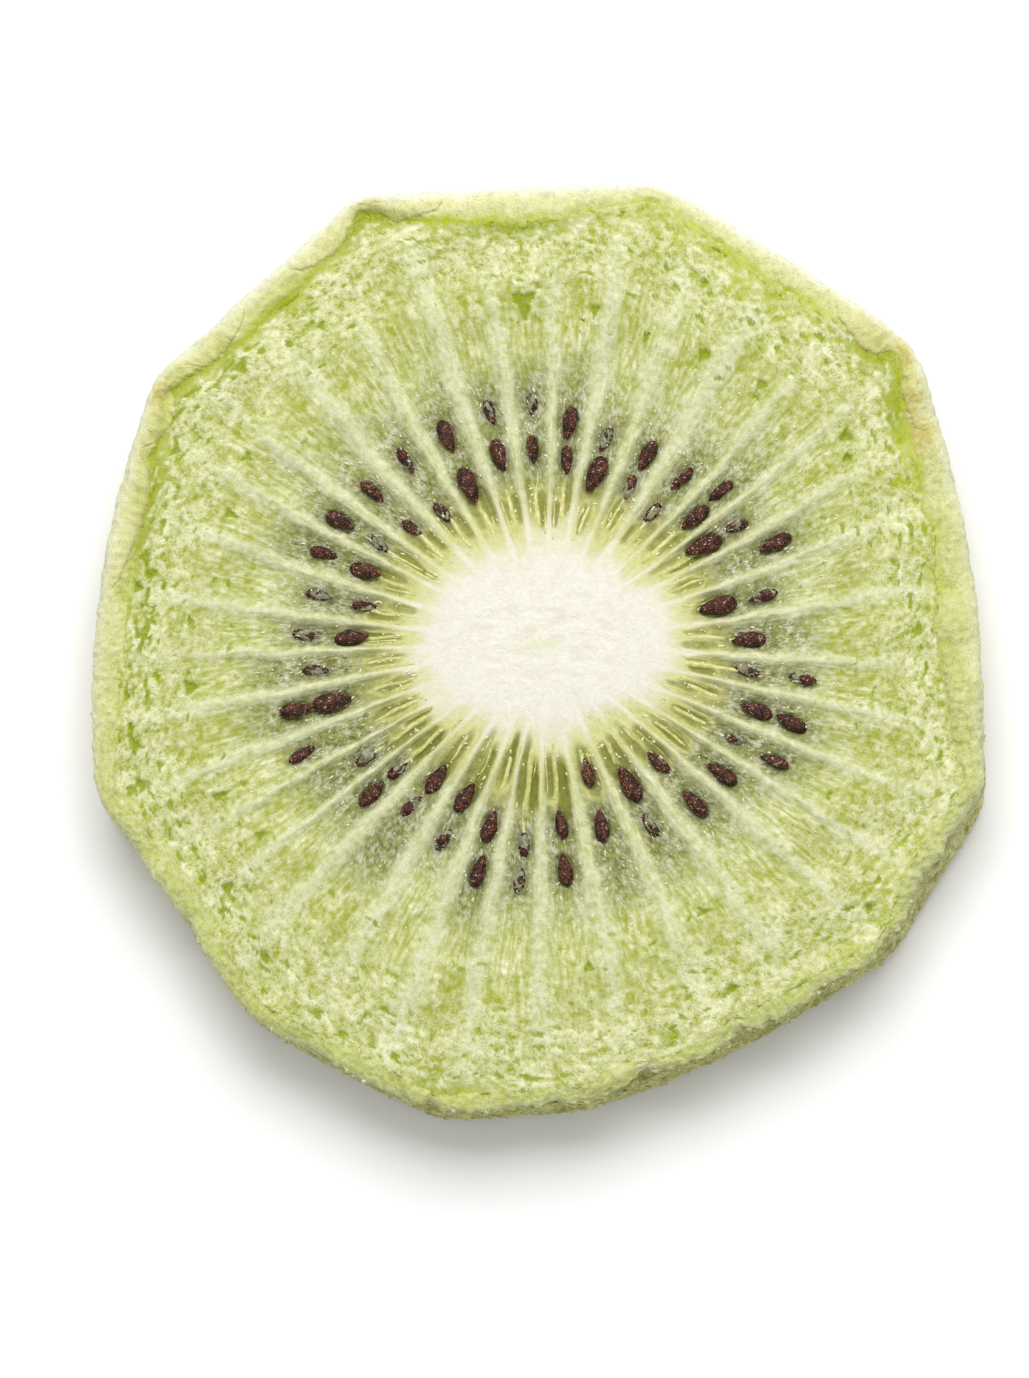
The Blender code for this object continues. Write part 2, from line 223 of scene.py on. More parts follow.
def radius_at(out, bearing):
    """Radius a share out of the way from the core's edge to the crease."""
    return core_edge(bearing) * (1 - out) + crease(bearing) * out


def bearing_at(phase, out):
    """Bearing of a line that keeps its place between the rays: its bearing at the core, plus out x lean."""
    plain = np.interp(np.mod(phase, CHAMBERS), np.arange(CHAMBERS + 1), RAY_BEARINGS)
    turn = np.radians(plain)
    return plain + np.maximum(out, 0) * (LEAN[0] + LEAN[1] * np.sin(2 * turn) + LEAN[2] * np.cos(turn))


def smooth_step(low, high, value):
    """0 below low, 1 above high, and the even turn 3t^2 - 2t^3 between."""
    share = np.clip((value - low) / (high - low), 0, 1)
    return share * share * (3 - 2 * share)


def within(zone, out):
    """1 inside a zone and 0 outside it, with even turns at both ends."""
    return smooth_step(zone[0], zone[1], out) * (1 - smooth_step(zone[2], zone[3], out))


def bell(value, middle, spread):
    """A bell of height 1: e to the minus square of the distance over the spread."""
    return np.exp(-(((value - middle) / spread) ** 2))


def bearing_bell(bearing, middle, spread):
    """A bell round a bearing, closed at the full turn."""
    return bell(np.mod(bearing - middle + 180, 360) - 180, 0, spread)


def bells(bearing, rows):
    """A sum of bells round bearings. A row is a bearing, a spread and, where it isn't 1, a height."""
    return sum((row[2] if len(row) > 2 else 1) * bearing_bell(bearing, *row[:2]) for row in rows)


def spot(radius, bearing):
    """The x and y of a place this far from the core's middle, at this bearing."""
    turn = np.radians(bearing)
    return radius * np.cos(turn), radius * np.sin(turn)


def swung(x, y, turn):
    """Where x and y come to when the plane turns by so many radians."""
    return x * np.cos(turn) - y * np.sin(turn), x * np.sin(turn) + y * np.cos(turn)


def lumps(radius, bearing):
    """Low swells of the dried flesh: the sum of six crossing sine waves."""
    x, y = spot(radius, bearing)
    waves = [
        np.sin(pitch * (x * np.cos(heading) + y * np.sin(heading)) + start)
        for heading, start, pitch in LUMP_WAVES
    ]
    return LUMP_HEIGHT * sum(waves) / np.sqrt(len(waves))


def top_height(ridge, out, radius, bearing):
    """Height of the upper cut face, ridge being 1 on the crest of a ray: it dips, rises and swells by zone,
    is a low dome over the core, and turns down to the crease over the last tenth of the way."""
    dome = CORE_RISE * (1 - np.minimum(radius / core_edge(bearing), 1) ** 2)
    sunk = CHAMBER_DIP * within(CHAMBER_ZONE, out)
    raised = OUTER_RISE * within(OUTER_ZONE, out) + RAY_HEIGHT * ridge * within(RAY_ZONE, out)
    height = CORE_TOP + dome - sunk + raised
    foot = CREASE_HEIGHT - CREASE_SINKS * lip_curl(bearing)
    height = height + (foot - height) * smooth_step(0.92, 1.0, out)
    return height + lumps(radius, bearing) * within(LUMP_ZONE, out)


def under_height(ridge, out, radius, bearing):
    """Height of the lower cut face, which stands on the core and clears the floor elsewhere."""
    off_core = smooth_step(*UNDER_ZONE[:2], out)
    height = UNDER_EDGE * off_core + (UNDER_LIFT - UNDER_EDGE) * within(UNDER_ZONE, out)
    relief = lumps(-radius, bearing) * within(LUMP_ZONE, out)
    relief = relief - RAY_HEIGHT * ridge * within(RAY_ZONE, out)
    return np.maximum(height + UNDER_RELIEF * relief, UNDER_LEAST * off_core)


TABLE = 64  # noise repeats after this many units, so a full turn is a whole number of them
table_random = np.random.default_rng(7)
SLOPES = table_random.normal(size=(TABLE, TABLE, TABLE, 3)).astype(np.float32)
SLOPES /= np.linalg.norm(SLOPES, axis=-1, keepdims=True)


def noise(x, y, z=0.0):
    """Gradient noise, about -1 to 1: each whole point has a random slope, and the slopes of the eight round
    a place are blended by the even turn 6t^5 - 15t^4 + 10t^3 in x, y and z."""
    place = np.broadcast_arrays(x, y, z)
    whole = [np.floor(value).astype(int) for value in place]
    part = [value - floor for value, floor in zip(place, whole)]
    turn = [share**3 * (share * (share * 6 - 15) + 10) for share in part]
    total = 0
    for corner in np.ndindex(2, 2, 2):
        slope = SLOPES[tuple((floor + step) % TABLE for floor, step in zip(whole, corner))]
        rise = sum(slope[..., axis] * (part[axis] - corner[axis]) for axis in range(3))
        weight = [share if step else 1 - share for share, step in zip(turn, corner)]
        total = total + rise * weight[0] * weight[1] * weight[2]
    return 1.6 * total


def sponge(x, y, z):
    """Crumbs of dried flesh, about 0 in the cracks and 1 on a crumb: two noises added up, one of them by
    its size, which falls to 0 along sharp lines, and both bent by a third."""
    bent = 0.14 * noise(x / 0.6, y / 0.6, z + 5), 0.14 * noise(x / 0.6, y / 0.6, z + 6)
    x, y = x + bent[0], y + bent[1]
    return 0.25 + 1.0 * np.abs(noise(x / 0.50, y / 0.50, z)) + 0.5 * noise(x / 0.26, y / 0.26, z + 9)


def laid_seeds():
    """Where each seed lies: letter, x, y, height of its middle, turn in radians, and if it is below."""
    laid = []
    for chamber in range(CHAMBERS):
        phase = chamber + 0.5
        rows = [
            (row[chamber][0], start + SEED_STEP * int(row[chamber][1]), False)
            for row, start in ((INNER_SEEDS, INNER_ROW), (OUTER_SEEDS, OUTER_ROW))
            if row[chamber] != ".."
        ]
        if UNDER_SEEDS[chamber] != ".":
            rows.append((UNDER_SEEDS[chamber], None, True))
        for letter, radius, under in rows:
            if under:
                radius = random.uniform(INNER_ROW + 2, OUTER_ROW + 3)
            twist = random.uniform(-SEED_TWIST, SEED_TWIST)
            aside = random.uniform(-SEED_ASIDE, SEED_ASIDE)
            _, _, thickness, proud = SEED_SIZES[letter]
            inner = bearing_at(phase, 0.0)
            out = float((radius - core_edge(inner)) / (crease(inner) - core_edge(inner)))
            bearing = float(bearing_at(phase + aside, out))
            if under:
                height = float(under_height(0, out, radius, bearing)) + thickness / 2
                height = max(height - UNDER_SHARE * proud, thickness / 2 + FLOOR_GAP)
            else:
                height = float(top_height(0, out, radius, bearing)) + proud - thickness / 2
            turn = np.radians(bearing) + np.radians(twist)
            laid.append((letter, *spot(radius, bearing), height, turn, under))
    return laid


LAID_SEEDS = laid_seeds()

# What each ray looks like, anticlockwise from FIRST_RAY: how pale it is, and how broad, each from 0 to 9.
RAY_LOOKS = """86 84 94 75 74 64 99 56 87 55 87 87 66 98 66 75 85 85
               84 85 84 53 73 86 97 98 87 66 58 57 67 85 84 84 84""".split()
RAY_PALE = np.array([int(look[0]) / 9 for look in RAY_LOOKS])
RAY_BROAD = 0.09 + 0.017 * np.array([int(look[1]) for look in RAY_LOOKS])  # half width, in chambers
looks = np.random.default_rng(12)
RAY_REACH = looks.uniform(0.80, 1.0, CHAMBERS)  # how far out it shows
CHAMBER_REACH = looks.uniform(0.34, 0.50, CHAMBERS)  # how far out the grey floor of a chamber reaches
POCKET_PLACE = np.array([0.29, 0.71]) + looks.uniform(-0.03, 0.03, (CHAMBERS, 2))
ONE_POCKET = (looks.random(CHAMBERS) < 0.4)[:, None]  # the chambers with one broad pocket
POCKET_PLACE = np.where(ONE_POCKET, 0.5 + 0.3 * (POCKET_PLACE - 0.5), POCKET_PLACE)
pocket_side = bearing_bell(RAY_BEARINGS[:-1, None], 262, 60)  # they are larger and deeper on this side
# A pocket's half width in chambers, where it starts and its length in shares of the way out, and its depth.
POCKET_SHARE = looks.uniform(0.14, 0.20, (CHAMBERS, 2)) * (0.85 + 0.35 * pocket_side)
POCKET_START = looks.uniform(-0.04, 0.04, (CHAMBERS, 2)) - 0.02 * pocket_side
POCKET_LENGTH = looks.uniform(0.10, 0.18, (CHAMBERS, 2)) * (0.8 + 0.5 * pocket_side)
POCKET_DEPTH = looks.uniform(0.5, 1.0, (CHAMBERS, 2)) * (0.75 + 0.40 * pocket_side)
CORE_NOTCH = looks.uniform(-0.05, 0.03, CHAMBERS)  # how far out the pith reaches in each chamber

# Open pits in the outer flesh: bearing, distance from the core's middle, half width, and half length.
OPEN_PITS = (
    (61, 17.8, 0.30, 0.26), (49.8, 18.2, 0.24, 0.20), (34, 19.7, 0.28, 0.24), (31, 19.1, 0.18, 0.16),
    (81.4, 18.3, 0.20, 0.22), (71.7, 17.6, 0.16, 0.20), (71.7, 21.4, 0.26, 0.10), (66, 21.4, 0.20, 0.12),
    (148, 19.1, 0.20, 0.18), (157.7, 18.5, 0.20, 0.26), (152.2, 22.8, 0.34, 0.16),
    (137.7, 22.5, 0.40, 0.22), (172.1, 22.4, 0.26, 0.20), (170.2, 21.9, 0.26, 0.12),
    (174.7, 22.0, 0.14, 0.10), (176.6, 19.3, 0.26, 0.13), (187.3, 19.4, 0.32, 0.26),
    (187.3, 23.0, 0.26, 0.16), (191.6, 22.8, 0.14, 0.10), (199.5, 23.2, 0.36, 0.18),
    (205.5, 19.5, 0.18, 0.28), (214.4, 18.7, 0.20, 0.18), (218, 21.7, 0.26, 0.20), (228.7, 22.8, 0.26, 0.18),
    (277.5, 17.9, 0.22, 0.20), (299.5, 17.0, 0.22, 0.16), (298, 21.4, 0.42, 0.14), (320, 22.7, 0.26, 0.14),
    (57, 20.6, 0.22, 0.14), (125, 21.2, 0.20, 0.14), (93.5, 18.6, 0.45, 0.50), (8, 21.6, 0.20, 0.16),
)


def seed_half_width(along):
    """Half width of a seed of half length 1: the square root of the way from its blunt outer end, times the
    0.75th power of the way from its pointed inner end, and 0.85 at its widest."""
    along = np.clip(along, -1, 1)
    return 0.83 * np.sqrt(1 - along) * (1 + along) ** 0.75


def pockets(inside, chamber, out, uneven):
    """The pockets of a chamber, from 0 to their depth, and the rings round them. Both have round ends."""
    pocket, outlined = 0, 0
    for half in range(2):
        sideways = (inside - POCKET_PLACE[chamber, half]) / POCKET_SHARE[chamber, half]
        length = POCKET_LENGTH[chamber, half] / 2
        outward = (out - POCKET_START[chamber, half] - length) / length
        away = np.hypot(sideways, outward * np.abs(outward)) + uneven
        pocket = np.maximum(pocket, POCKET_DEPTH[chamber, half] * (1 - smooth_step(0.35, 1.25, away)))
        outlined = np.maximum(outlined, bell(away, 1.35, 0.3) * POCKET_DEPTH[chamber, half])
    return pocket, outlined


def open_pit(pit, x, y, uneven):
    """1 in an open pit and 0 clear of it. It is a corner that points inward."""
    bearing, distance, half_width, half_length = pit
    outward, aside = swung(x, y, -np.radians(bearing))
    beyond, aside = (outward - distance) / half_length, np.abs(aside / half_width)
    return 1 - smooth_step(0.8, 1.15, np.maximum(beyond, aside - 0.45 * beyond) + uneven)


def filmed(x, y, height, relief, under):
    """Film over the seeds. It dips round a bare one, and is drawn up over a covered one. Gives the relief
    with this added, how dark each covered seed shows through, and painted shade round each seed."""
    relief, covered, seed_shade = relief.copy(), np.zeros_like(height), np.zeros_like(height)
    for letter, seed_x, seed_y, seed_height, seed_turn, seed_under in LAID_SEEDS:
        length, width, thickness, _ = SEED_SIZES[letter]
        along, across = swung(x - seed_x, y - seed_y, -seed_turn)
        along, across = along / (length / 2), across / (width / 2)
        near = (np.abs(along) < 2.5) & (np.abs(across) < 3.5)
        if seed_under != under or not near.any():
            continue
        along, across = along[near], across[near]
        away = np.hypot(along, across)
        # Painted shade: a ring round each seed, strongest at its edge.
        seed_shade[near] = np.maximum(seed_shade[near], bell(away, 1.0, 0.45))
        if under:
            continue
        width_there = np.maximum(seed_half_width(along), 0.05)
        inside_seed = 1 - (across / width_there) ** 2
        crown = seed_height + (thickness / 2) * width_there * np.sqrt(np.clip(inside_seed, 0, 1))
        over_seed = (np.abs(along) < 1) & (inside_seed > 0)
        cover = noise(along * 1.1, across * 0.8, seed_x * 3)
        cover = cover + 0.35 * noise(along * 3, across * 4, seed_y * 3)
        hidden = smooth_step(-0.12, 0.12, cover * 0.7 + SEED_COVER[letter] + 0.6 * (away - 0.75))
        lift = np.clip(crown + 0.03 - height[near] - relief[near], 0, 1) * hidden * over_seed
        relief[near] += lift - 0.12 * (1 - hidden) * (away < 1) - 0.05 * bell(away, 1.0, 0.65)
        threads = noise(along * 1.5, across * 5, seed_x * 5)
        shade = hidden * np.clip(1.25 - away, 0, 1) ** 0.5 * np.clip(0.85 - 0.9 * threads, 0.1, 1)
        covered[near] = np.maximum(covered[near], shade)
    return relief, covered, seed_shade


def cut_face(phase, out, under=False):
    """A place on a cut face: its (x, y, z), and tints from 0 to 1 for the things that colour it there."""
    bearing = bearing_at(phase, out)
    radius = radius_at(out, bearing)
    x, y = spot(radius, bearing)
    level = UNDER_LAYER if under else 0.0
    turns = bearing * TABLE / 360

    def even(size, layer):
        """Noise of this grain size, which is the same along the rays and across them."""
        return noise(x / size, y / size, level + layer)

    def drawn(times, outward, layer, bend=(0, 0)):
        """Noise in polar form: so many times TABLE grains a turn, and so many a millimetre out, bent."""
        return noise(turns * times + bend[0], radius * outward + bend[1], level + layer)

    # The crests of the rays wander a little, and each has its own breadth.
    wander = 0.06 * even(1.9, 0) + 0.035 * even(0.6, 3)
    place = phase + wander * smooth_step(0.02, 0.2, out)
    ray = np.round(place).astype(int) % CHAMBERS
    chamber = np.floor(place).astype(int) % CHAMBERS
    off_ray = place - np.round(place)
    broad = 0.66 + 0.26 * smooth_step(0.0, 0.25, out) - 0.20 * smooth_step(0.3, 0.85, out)
    crest = bell(off_ray, 0, RAY_BROAD[ray] * broad)
    fibres = drawn(6, 0.5, 0) + 0.6 * drawn(13, 0.8, 7)
    wisps = drawn(19, 1.2, 33) + 0.7 * drawn(37, 2.0, 35)
    grain = even(0.34, 0) + 0.6 * even(0.17, 9)
    patch = even(1.3, 13) + 0.5 * even(3.4, 17)

    # The outer flesh is a fine sponge: pale swirls parted by green cracks, drawn out along the rays further
    # in and round the slice near the rim, with green pits where it tore.
    spongy = smooth_step(0.56, 0.86, out + 0.05 * patch)
    swirl = np.stack([0.45 * even(1.1, 41), 0.45 * even(1.1, 43)]) + 0.12 * grain
    ripple = 0.7 * drawn(2, 1.7, 45, swirl) + 1.05 * drawn(5, 3.6, 47, 2 * swirl)
    flake = drawn(9, 1.2, 19, (swirl[0], 0)) + 0.6 * drawn(21, 2.8, 21)
    crumb = 0.70 * flake * (1 - spongy) + ripple * (0.42 + 0.48 * spongy)
    pale = 0.50 + 0.55 * crumb + 0.28 * patch + 0.16 * wisps * (1 - spongy) + 0.20 * grain
    pale = pale + 0.22 * (crest - 0.35) * RAY_PALE[ray] * smooth_step(0.5, 0.7, out)
    crack = 1 - smooth_step(0.02, 0.13, np.abs(drawn(3, 2.2, 37, swirl)))
    crack = crack * smooth_step(0.15, 0.5, even(1.2, 39)) * (0.4 + 0.6 * spongy)
    to_crease = crease(bearing) - radius
    torn = bells(bearing, ((212, 34), (12, 26), (142, 16), (176, 18, 1.1)))
    hollow = drawn(3, 2.6, 23, (0.3 * grain, swirl[1])) + 0.25 * patch
    hollow = hollow + 0.10 * smooth_step(0.7, 1.0, out) + 0.28 * torn * bell(to_crease, 0.9, 0.8)
    pit = smooth_step(0.56, 0.68, hollow) * smooth_step(0.50, 0.65, out)

    # Rays, chamber floors, and the green streaks that the chambers end in.
    fade = within((0.0, 0.06, 0.40 * RAY_REACH[ray], 1.22 * RAY_REACH[ray]), out)
    uneven = smooth_step(0.25, 0.7, out) * (0.45 * flake + 0.5 * ripple + 0.3 * patch)
    shows = np.clip(0.42 + 0.65 * RAY_PALE[ray] + 0.20 * fibres + 0.22 * wisps + uneven, 0, 1.3)
    ray_tint = crest * fade * shows * (1 - 0.28 * bell(out, 0.26, 0.14))
    fork = 0.05 * drawn(2, 0.6, 55) * smooth_step(0.3, 0.8, out)
    line = bell(off_ray + fork, 0, 0.045) + 0.6 * bell(off_ray - 2 * fork, 0, 0.035)
    line = line * within((0.12, 0.30, 0.72 * RAY_REACH[ray], 1.12 * RAY_REACH[ray]), out)
    shows = np.clip(0.25 + 0.75 * RAY_PALE[ray] + 0.35 * ripple + 0.3 * flake, 0, 1.2)
    ray_tint = np.maximum(ray_tint, 0.85 * line * shows)
    reach = CHAMBER_REACH[chamber]
    between = 1 - smooth_step(0.25, 0.85, crest)
    floor = within((0.10, 0.19, reach - 0.08, reach + 0.16), out + 0.02 * fibres + 0.012 * grain) * between
    olive = within((-0.02, 0.04, 0.10, 0.22), out + 0.01 * fibres) * between
    streak = within((reach - 0.10, reach + 0.04, 0.66, 0.98), out + 0.06 * fibres) * between
    streak = streak * smooth_step(-0.6, 1.0, fibres + 0.5 * wisps - 0.5 * flake)
    cotton = 1 - np.abs(drawn(6, 1.5, 29, swirl)) * 3.6
    cotton = np.maximum(cotton, 1 - np.abs(drawn(11, 2.4, 31, (2 * swirl[0], 0))) * 3.2)
    cotton = cotton + 0.3 * grain + 0.5 * even(0.8, 51)
    cotton = smooth_step(0.55, 1.05, cotton) * within((0.12, 0.2, 0.42, 0.66), out) * between

    # The pockets, the ragged edge of the pith, and the yellow round both.
    pocket, outlined = pockets(place - np.floor(place), chamber, out, 0.22 * patch + 0.12 * grain)
    lobes = 0.07 * crest * RAY_PALE[ray] - 0.014 * grain - 0.045 * patch - 0.03 * pocket
    lobes = lobes + CORE_NOTCH[chamber] * (1 - crest) - 0.045 * np.sin(np.radians(2 * bearing)) ** 2
    lobes = lobes + bells(bearing, ((92, 22, 0.02), (306, 8, -0.05), (210, 9, 0.03)))
    pith = 1 - smooth_step(-0.08, 0.05, out - np.maximum(lobes, -0.09))
    yellow = within((-0.13, -0.03, 0.05, 0.13), out + 0.01 * fibres) * (1 - 0.4 * crest)
    yellow = yellow * np.clip(0.65 + 0.4 * grain, 0, 1) * (1 - pocket)
    yellow = np.maximum(yellow, outlined * within((-0.09, -0.05, 0.12, 0.22), out) * (1 - pocket))

    # The fold at the foot of the rim: how far in its painted green glow reaches, the painted shade where it
    # is deepest, and its dark line of painted shadow.
    reach = 0.55 + bells(bearing, (
        (62, 24, 1.4), (128, 20, 0.2), (10, 12, 0.4), (322, 16, 1.3), (27, 9, 0.7), (157, 9, 0.5)))
    green_glow = 1 - smooth_step(0.1, 1.0, to_crease / reach + 0.7 * ripple + 0.3 * patch)
    green_glow = green_glow * fold_glow(bearing) * np.clip(0.75 + 0.35 * flake + 0.35 * grain, 0, 1)
    # Painted shade in the recesses behind the lips and flaps.
    reach = 1 + bells(bearing, ((39, 4, 1.2), (30, 4, 0.5)))
    deep = 1 - smooth_step(0.1, 1.1, to_crease / reach + 0.55 * ripple + 0.25 * grain)
    deep = deep * bells(bearing, SHADED_RECESSES) * np.clip(0.8 + 0.5 * ripple + 0.35 * grain, 0, 1)
    # A thin line of painted shadow right at the crease, under the lip.
    crease_shadow = 1 - smooth_step(0.03, 0.26, to_crease + 0.08 * grain + 0.10 * ripple)
    crease_shadow = crease_shadow * bells(bearing, ((8, 22), (135, 24, 0.8), (180, 20, 0.5)))
    deep = np.maximum(deep, 0.8 * crease_shadow)

    height = (under_height if under else top_height)(crest, out, radius, bearing)
    relief = 0.03 * fibres * within((0.02, 0.14, 0.5, 0.8), out) - 0.07 * pit * (1 - 0.5 * green_glow)
    sponged = 0.045 * (sponge(x, y, level) - 0.6) + 0.05 * crumb + 0.035 * patch - 0.05 * crack
    relief = relief + sponged * smooth_step(0.3, 0.7, out)
    relief = relief + 0.02 * wisps * within((0.1, 0.25, 0.6, 0.85), out)
    relief = relief - 0.15 * pocket + 0.02 * patch * floor + 0.05 * cotton + 0.03 * outlined
    relief = relief + 0.006 * grain * pith
    if not under:
        for row in OPEN_PITS:
            hole = open_pit(row, x, y, 0.25 * grain)
            relief = relief - 0.15 * hole
            pit = np.maximum(pit, 1.3 * hole)
    relief = relief * (1 - smooth_step(0.985, 1.0, out))
    relief, covered, seed_shade = filmed(x, y, height, relief, under)
    height = height + (-0.6 * relief if under else relief)
    if under:
        height = np.maximum(height, 0.02 * smooth_step(-0.02, 0.04, out))
    tints = {
        "pale": pale, "crack": crack, "streak": streak, "floor": floor, "olive": olive, "cotton": cotton,
        "ray": ray_tint, "pit": pit, "pocket": pocket, "yellow": yellow, "pith": pith, "green_glow": green_glow,
        "deep": deep, "covered": covered, "seed_shade": seed_shade * between, "sponge": spongy,
    }
    return np.stack([x, y, height], axis=-1), {name: np.clip(tint, 0, 1) for name, tint in tints.items()}


SHARP_ANGLE = 80  # an edge that bends by more than this many degrees stays sharp


def piece(name, places, faces, material, tints=None):
    """An object of the slice, from corners in millimetres about the core's middle, with a tint a corner."""
    mesh = bpy.data.meshes.new(name)
    mesh.from_pydata((places + (*CORE_AT, 0)) * MM, [], faces)
    for tint_name, values in (tints or {}).items():
        layer = mesh.attributes.new(tint_name, "FLOAT", "POINT")
        layer.data.foreach_set("value", values.astype(np.float32))
    mesh.shade_smooth()
    mesh.set_sharp_from_angle(angle=np.radians(SHARP_ANGLE))
    mesh.materials.append(material)
    made = bpy.data.objects.new(name, mesh)
    bpy.context.scene.collection.objects.link(made)
    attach(made, "root")
    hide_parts("kiwi_slice")
    return made


def net(rows, columns, wrapped=False, turned=False):
    """The faces of a grid of corners, numbered row by row, with a quad between each four neighbours. The
    columns close round, and so do the rows where wrapped; otherwise a fan closes each end, on one of two
    more corners. Turned faces look the other way."""
    corner = np.arange(rows * columns).reshape(rows, columns)
    nearer, further = (corner, np.roll(corner, -1, 0)) if wrapped else (corner[:-1], corner[1:])
    quads = np.stack([nearer, further, np.roll(further, -1, 1), np.roll(nearer, -1, 1)], axis=-1)
    quads = quads.reshape(-1, 4)
    fans = []
    if not wrapped:
        first, last = corner[0], corner[-1]
        fans = [(rows * columns, a, b) for a, b in zip(first, np.roll(first, -1))]
        fans += [(rows * columns + 1, b, a) for a, b in zip(last, np.roll(last, -1))]
    if turned:
        quads = quads[:, [0, 3, 2, 1]]
        fans = [(end, b, a) for end, a, b in fans]
    return quads.tolist() + fans


def skin(name, points, tints, material, wrapped=True):
    """A closed piece from a grid of points, rows by columns. Where its rows aren't wrapped, each end closes
    on its middle."""
    rows, columns = points.shape[:2]
    places = points.reshape(-1, 3)
    if not wrapped:
        places = np.concatenate([places, points[[0, -1]].mean(axis=1)])
    corner_tints = {}
    for tint_name, tint in tints.items():
        ends = [] if wrapped else [tint[0].mean(), tint[-1].mean()]
        corner_tints[tint_name] = np.concatenate([tint.ravel(), ends])
    return piece(name, places, net(rows, columns, wrapped), material, corner_tints)


class Tone:
    """An output of a node in a material. Sums and products of tones add the Math nodes for them."""

    def __init__(self, tree, output=None):
        self.tree, self.output = tree, output

    def make(self, kind, settings, inputs, output=0):
        """Adds a node of a kind: its settings first, then the values or links of its sockets."""
        node = self.tree.nodes.new("ShaderNode" + kind)
        for name, value in settings.items():
            setattr(node, name, value)
        for name, value in inputs.items():
            if isinstance(value, Tone):
                self.tree.links.new(value.output, node.inputs[name])
            else:
                node.inputs[name].default_value = value
        return Tone(self.tree, node.outputs[output])

    def math(self, operation, left, right):
        return self.make("Math", {"operation": operation}, {0: left, 1: right})

    def __add__(self, other):
        return self.math("ADD", self, other)

    def __sub__(self, other):
        return self.math("SUBTRACT", self, other)

    def __rsub__(self, other):
        return self.math("SUBTRACT", other, self)

    def __mul__(self, other):
        return self.math("MULTIPLY", self, other)

    __radd__, __rmul__ = __add__, __mul__

    def clamped(self):
        """The tone kept between 0 and 1."""
        return self.make("Clamp", {}, {0: self})

    def mix(self, low, high):
        """The colour low where the tone is 0, high where it is 1, and a blend of them between."""
        return self.make("Mix", {"data_type": "RGBA"}, {0: self, 6: low, 7: high}, 2)

    def step(self, low, high):
        """0 where the tone is below low, 1 where it is above high, with an even turn between."""
        ends = {"Value": self, "From Min": low, "From Max": high}
        return self.make("MapRange", {"interpolation_type": "SMOOTHSTEP"}, ends)


LIT = 1.25  # under this scene's light a surface looks this many times as bright as its own colour


def seen(red, green, blue):
    """A surface's own colour, from how it looks when lit, in steps of 255: the power law of screens, over
    the strength of the light."""
    share = np.array([red, green, blue]) / 255
    linear = np.where(share <= 0.04045, share / 12.92, ((share + 0.055) / 1.055) ** 2.4)
    return (*(linear / LIT), 1.0)


def blend(tone, low, high):
    """A blend of two colours as they look when lit: the low one where the tone is 0, the high one at 1."""
    return tone.mix(seen(*low), seen(*high))


def laid_over(colour, *layers):
    """The colour with others laid over it in turn. A layer is a tone for how much of it shows, and either
    a colour as it looks when lit or a tone of its own."""
    for share, look in layers:
        colour = share.mix(colour, look if isinstance(look, Tone) else seen(*look))
    return colour


def speckled(colour, fine, depth):
    """The colour darkened a little in the low places of a fine noise."""
    return ((fine - 0.5) * depth + 0.96).mix((0, 0, 0, 1), colour)


def finish(material, colour, roughness, bump_height, bump_depth, specular=0.3):
    """Sets a material's shader: its colour and roughness, a bump in millimetres, and how far it shines."""
    shader = material.node_tree.nodes["Principled BSDF"]
    tree = material.node_tree
    tree.links.new(colour.output, shader.inputs["Base Color"])
    if isinstance(roughness, Tone):
        tree.links.new(roughness.output, shader.inputs["Roughness"])
    else:
        shader.inputs["Roughness"].default_value = roughness
    shader.inputs["Specular IOR Level"].default_value = specular
    bump = colour.make("Bump", {}, {"Height": bump_height, "Distance": bump_depth * MM, "Strength": 1.0})
    tree.links.new(bump.output, shader.inputs["Normal"])


def new_material(name):
    """A material, a maker of noise tones of a grain size in millimetres, and a maker of tones from tints."""
    material = bpy.data.materials.new(name)
    material.use_nodes = True
    start = Tone(material.node_tree)
    place = start.make("TexCoord", {}, {}, "Object")

    def speckle(size, detail=2.0, distortion=0.0):
        inputs = {"Vector": place, "Scale": 1 / (size * MM), "Detail": detail, "Distortion": distortion}
        return start.make("TexNoise", {}, inputs)

    def tint(tint_name):
        return start.make("Attribute", {"attribute_name": tint_name}, {}, "Fac")

    return material, speckle, tint


def pith_colour(speckle):
    """Cream, with faint swirls and flecks of grey-green."""
    fine, swirl = speckle(0.13, 3, 0.6), speckle(0.6, 2, 2.0)
    cream = blend(fine * 0.2 + swirl * 1.4 - 0.3, (236, 231, 208), (253, 249, 241))
    return laid_over(cream, (speckle(1.1, 3, 1.0).step(0.54, 0.70) * 0.35, (226, 223, 196)))


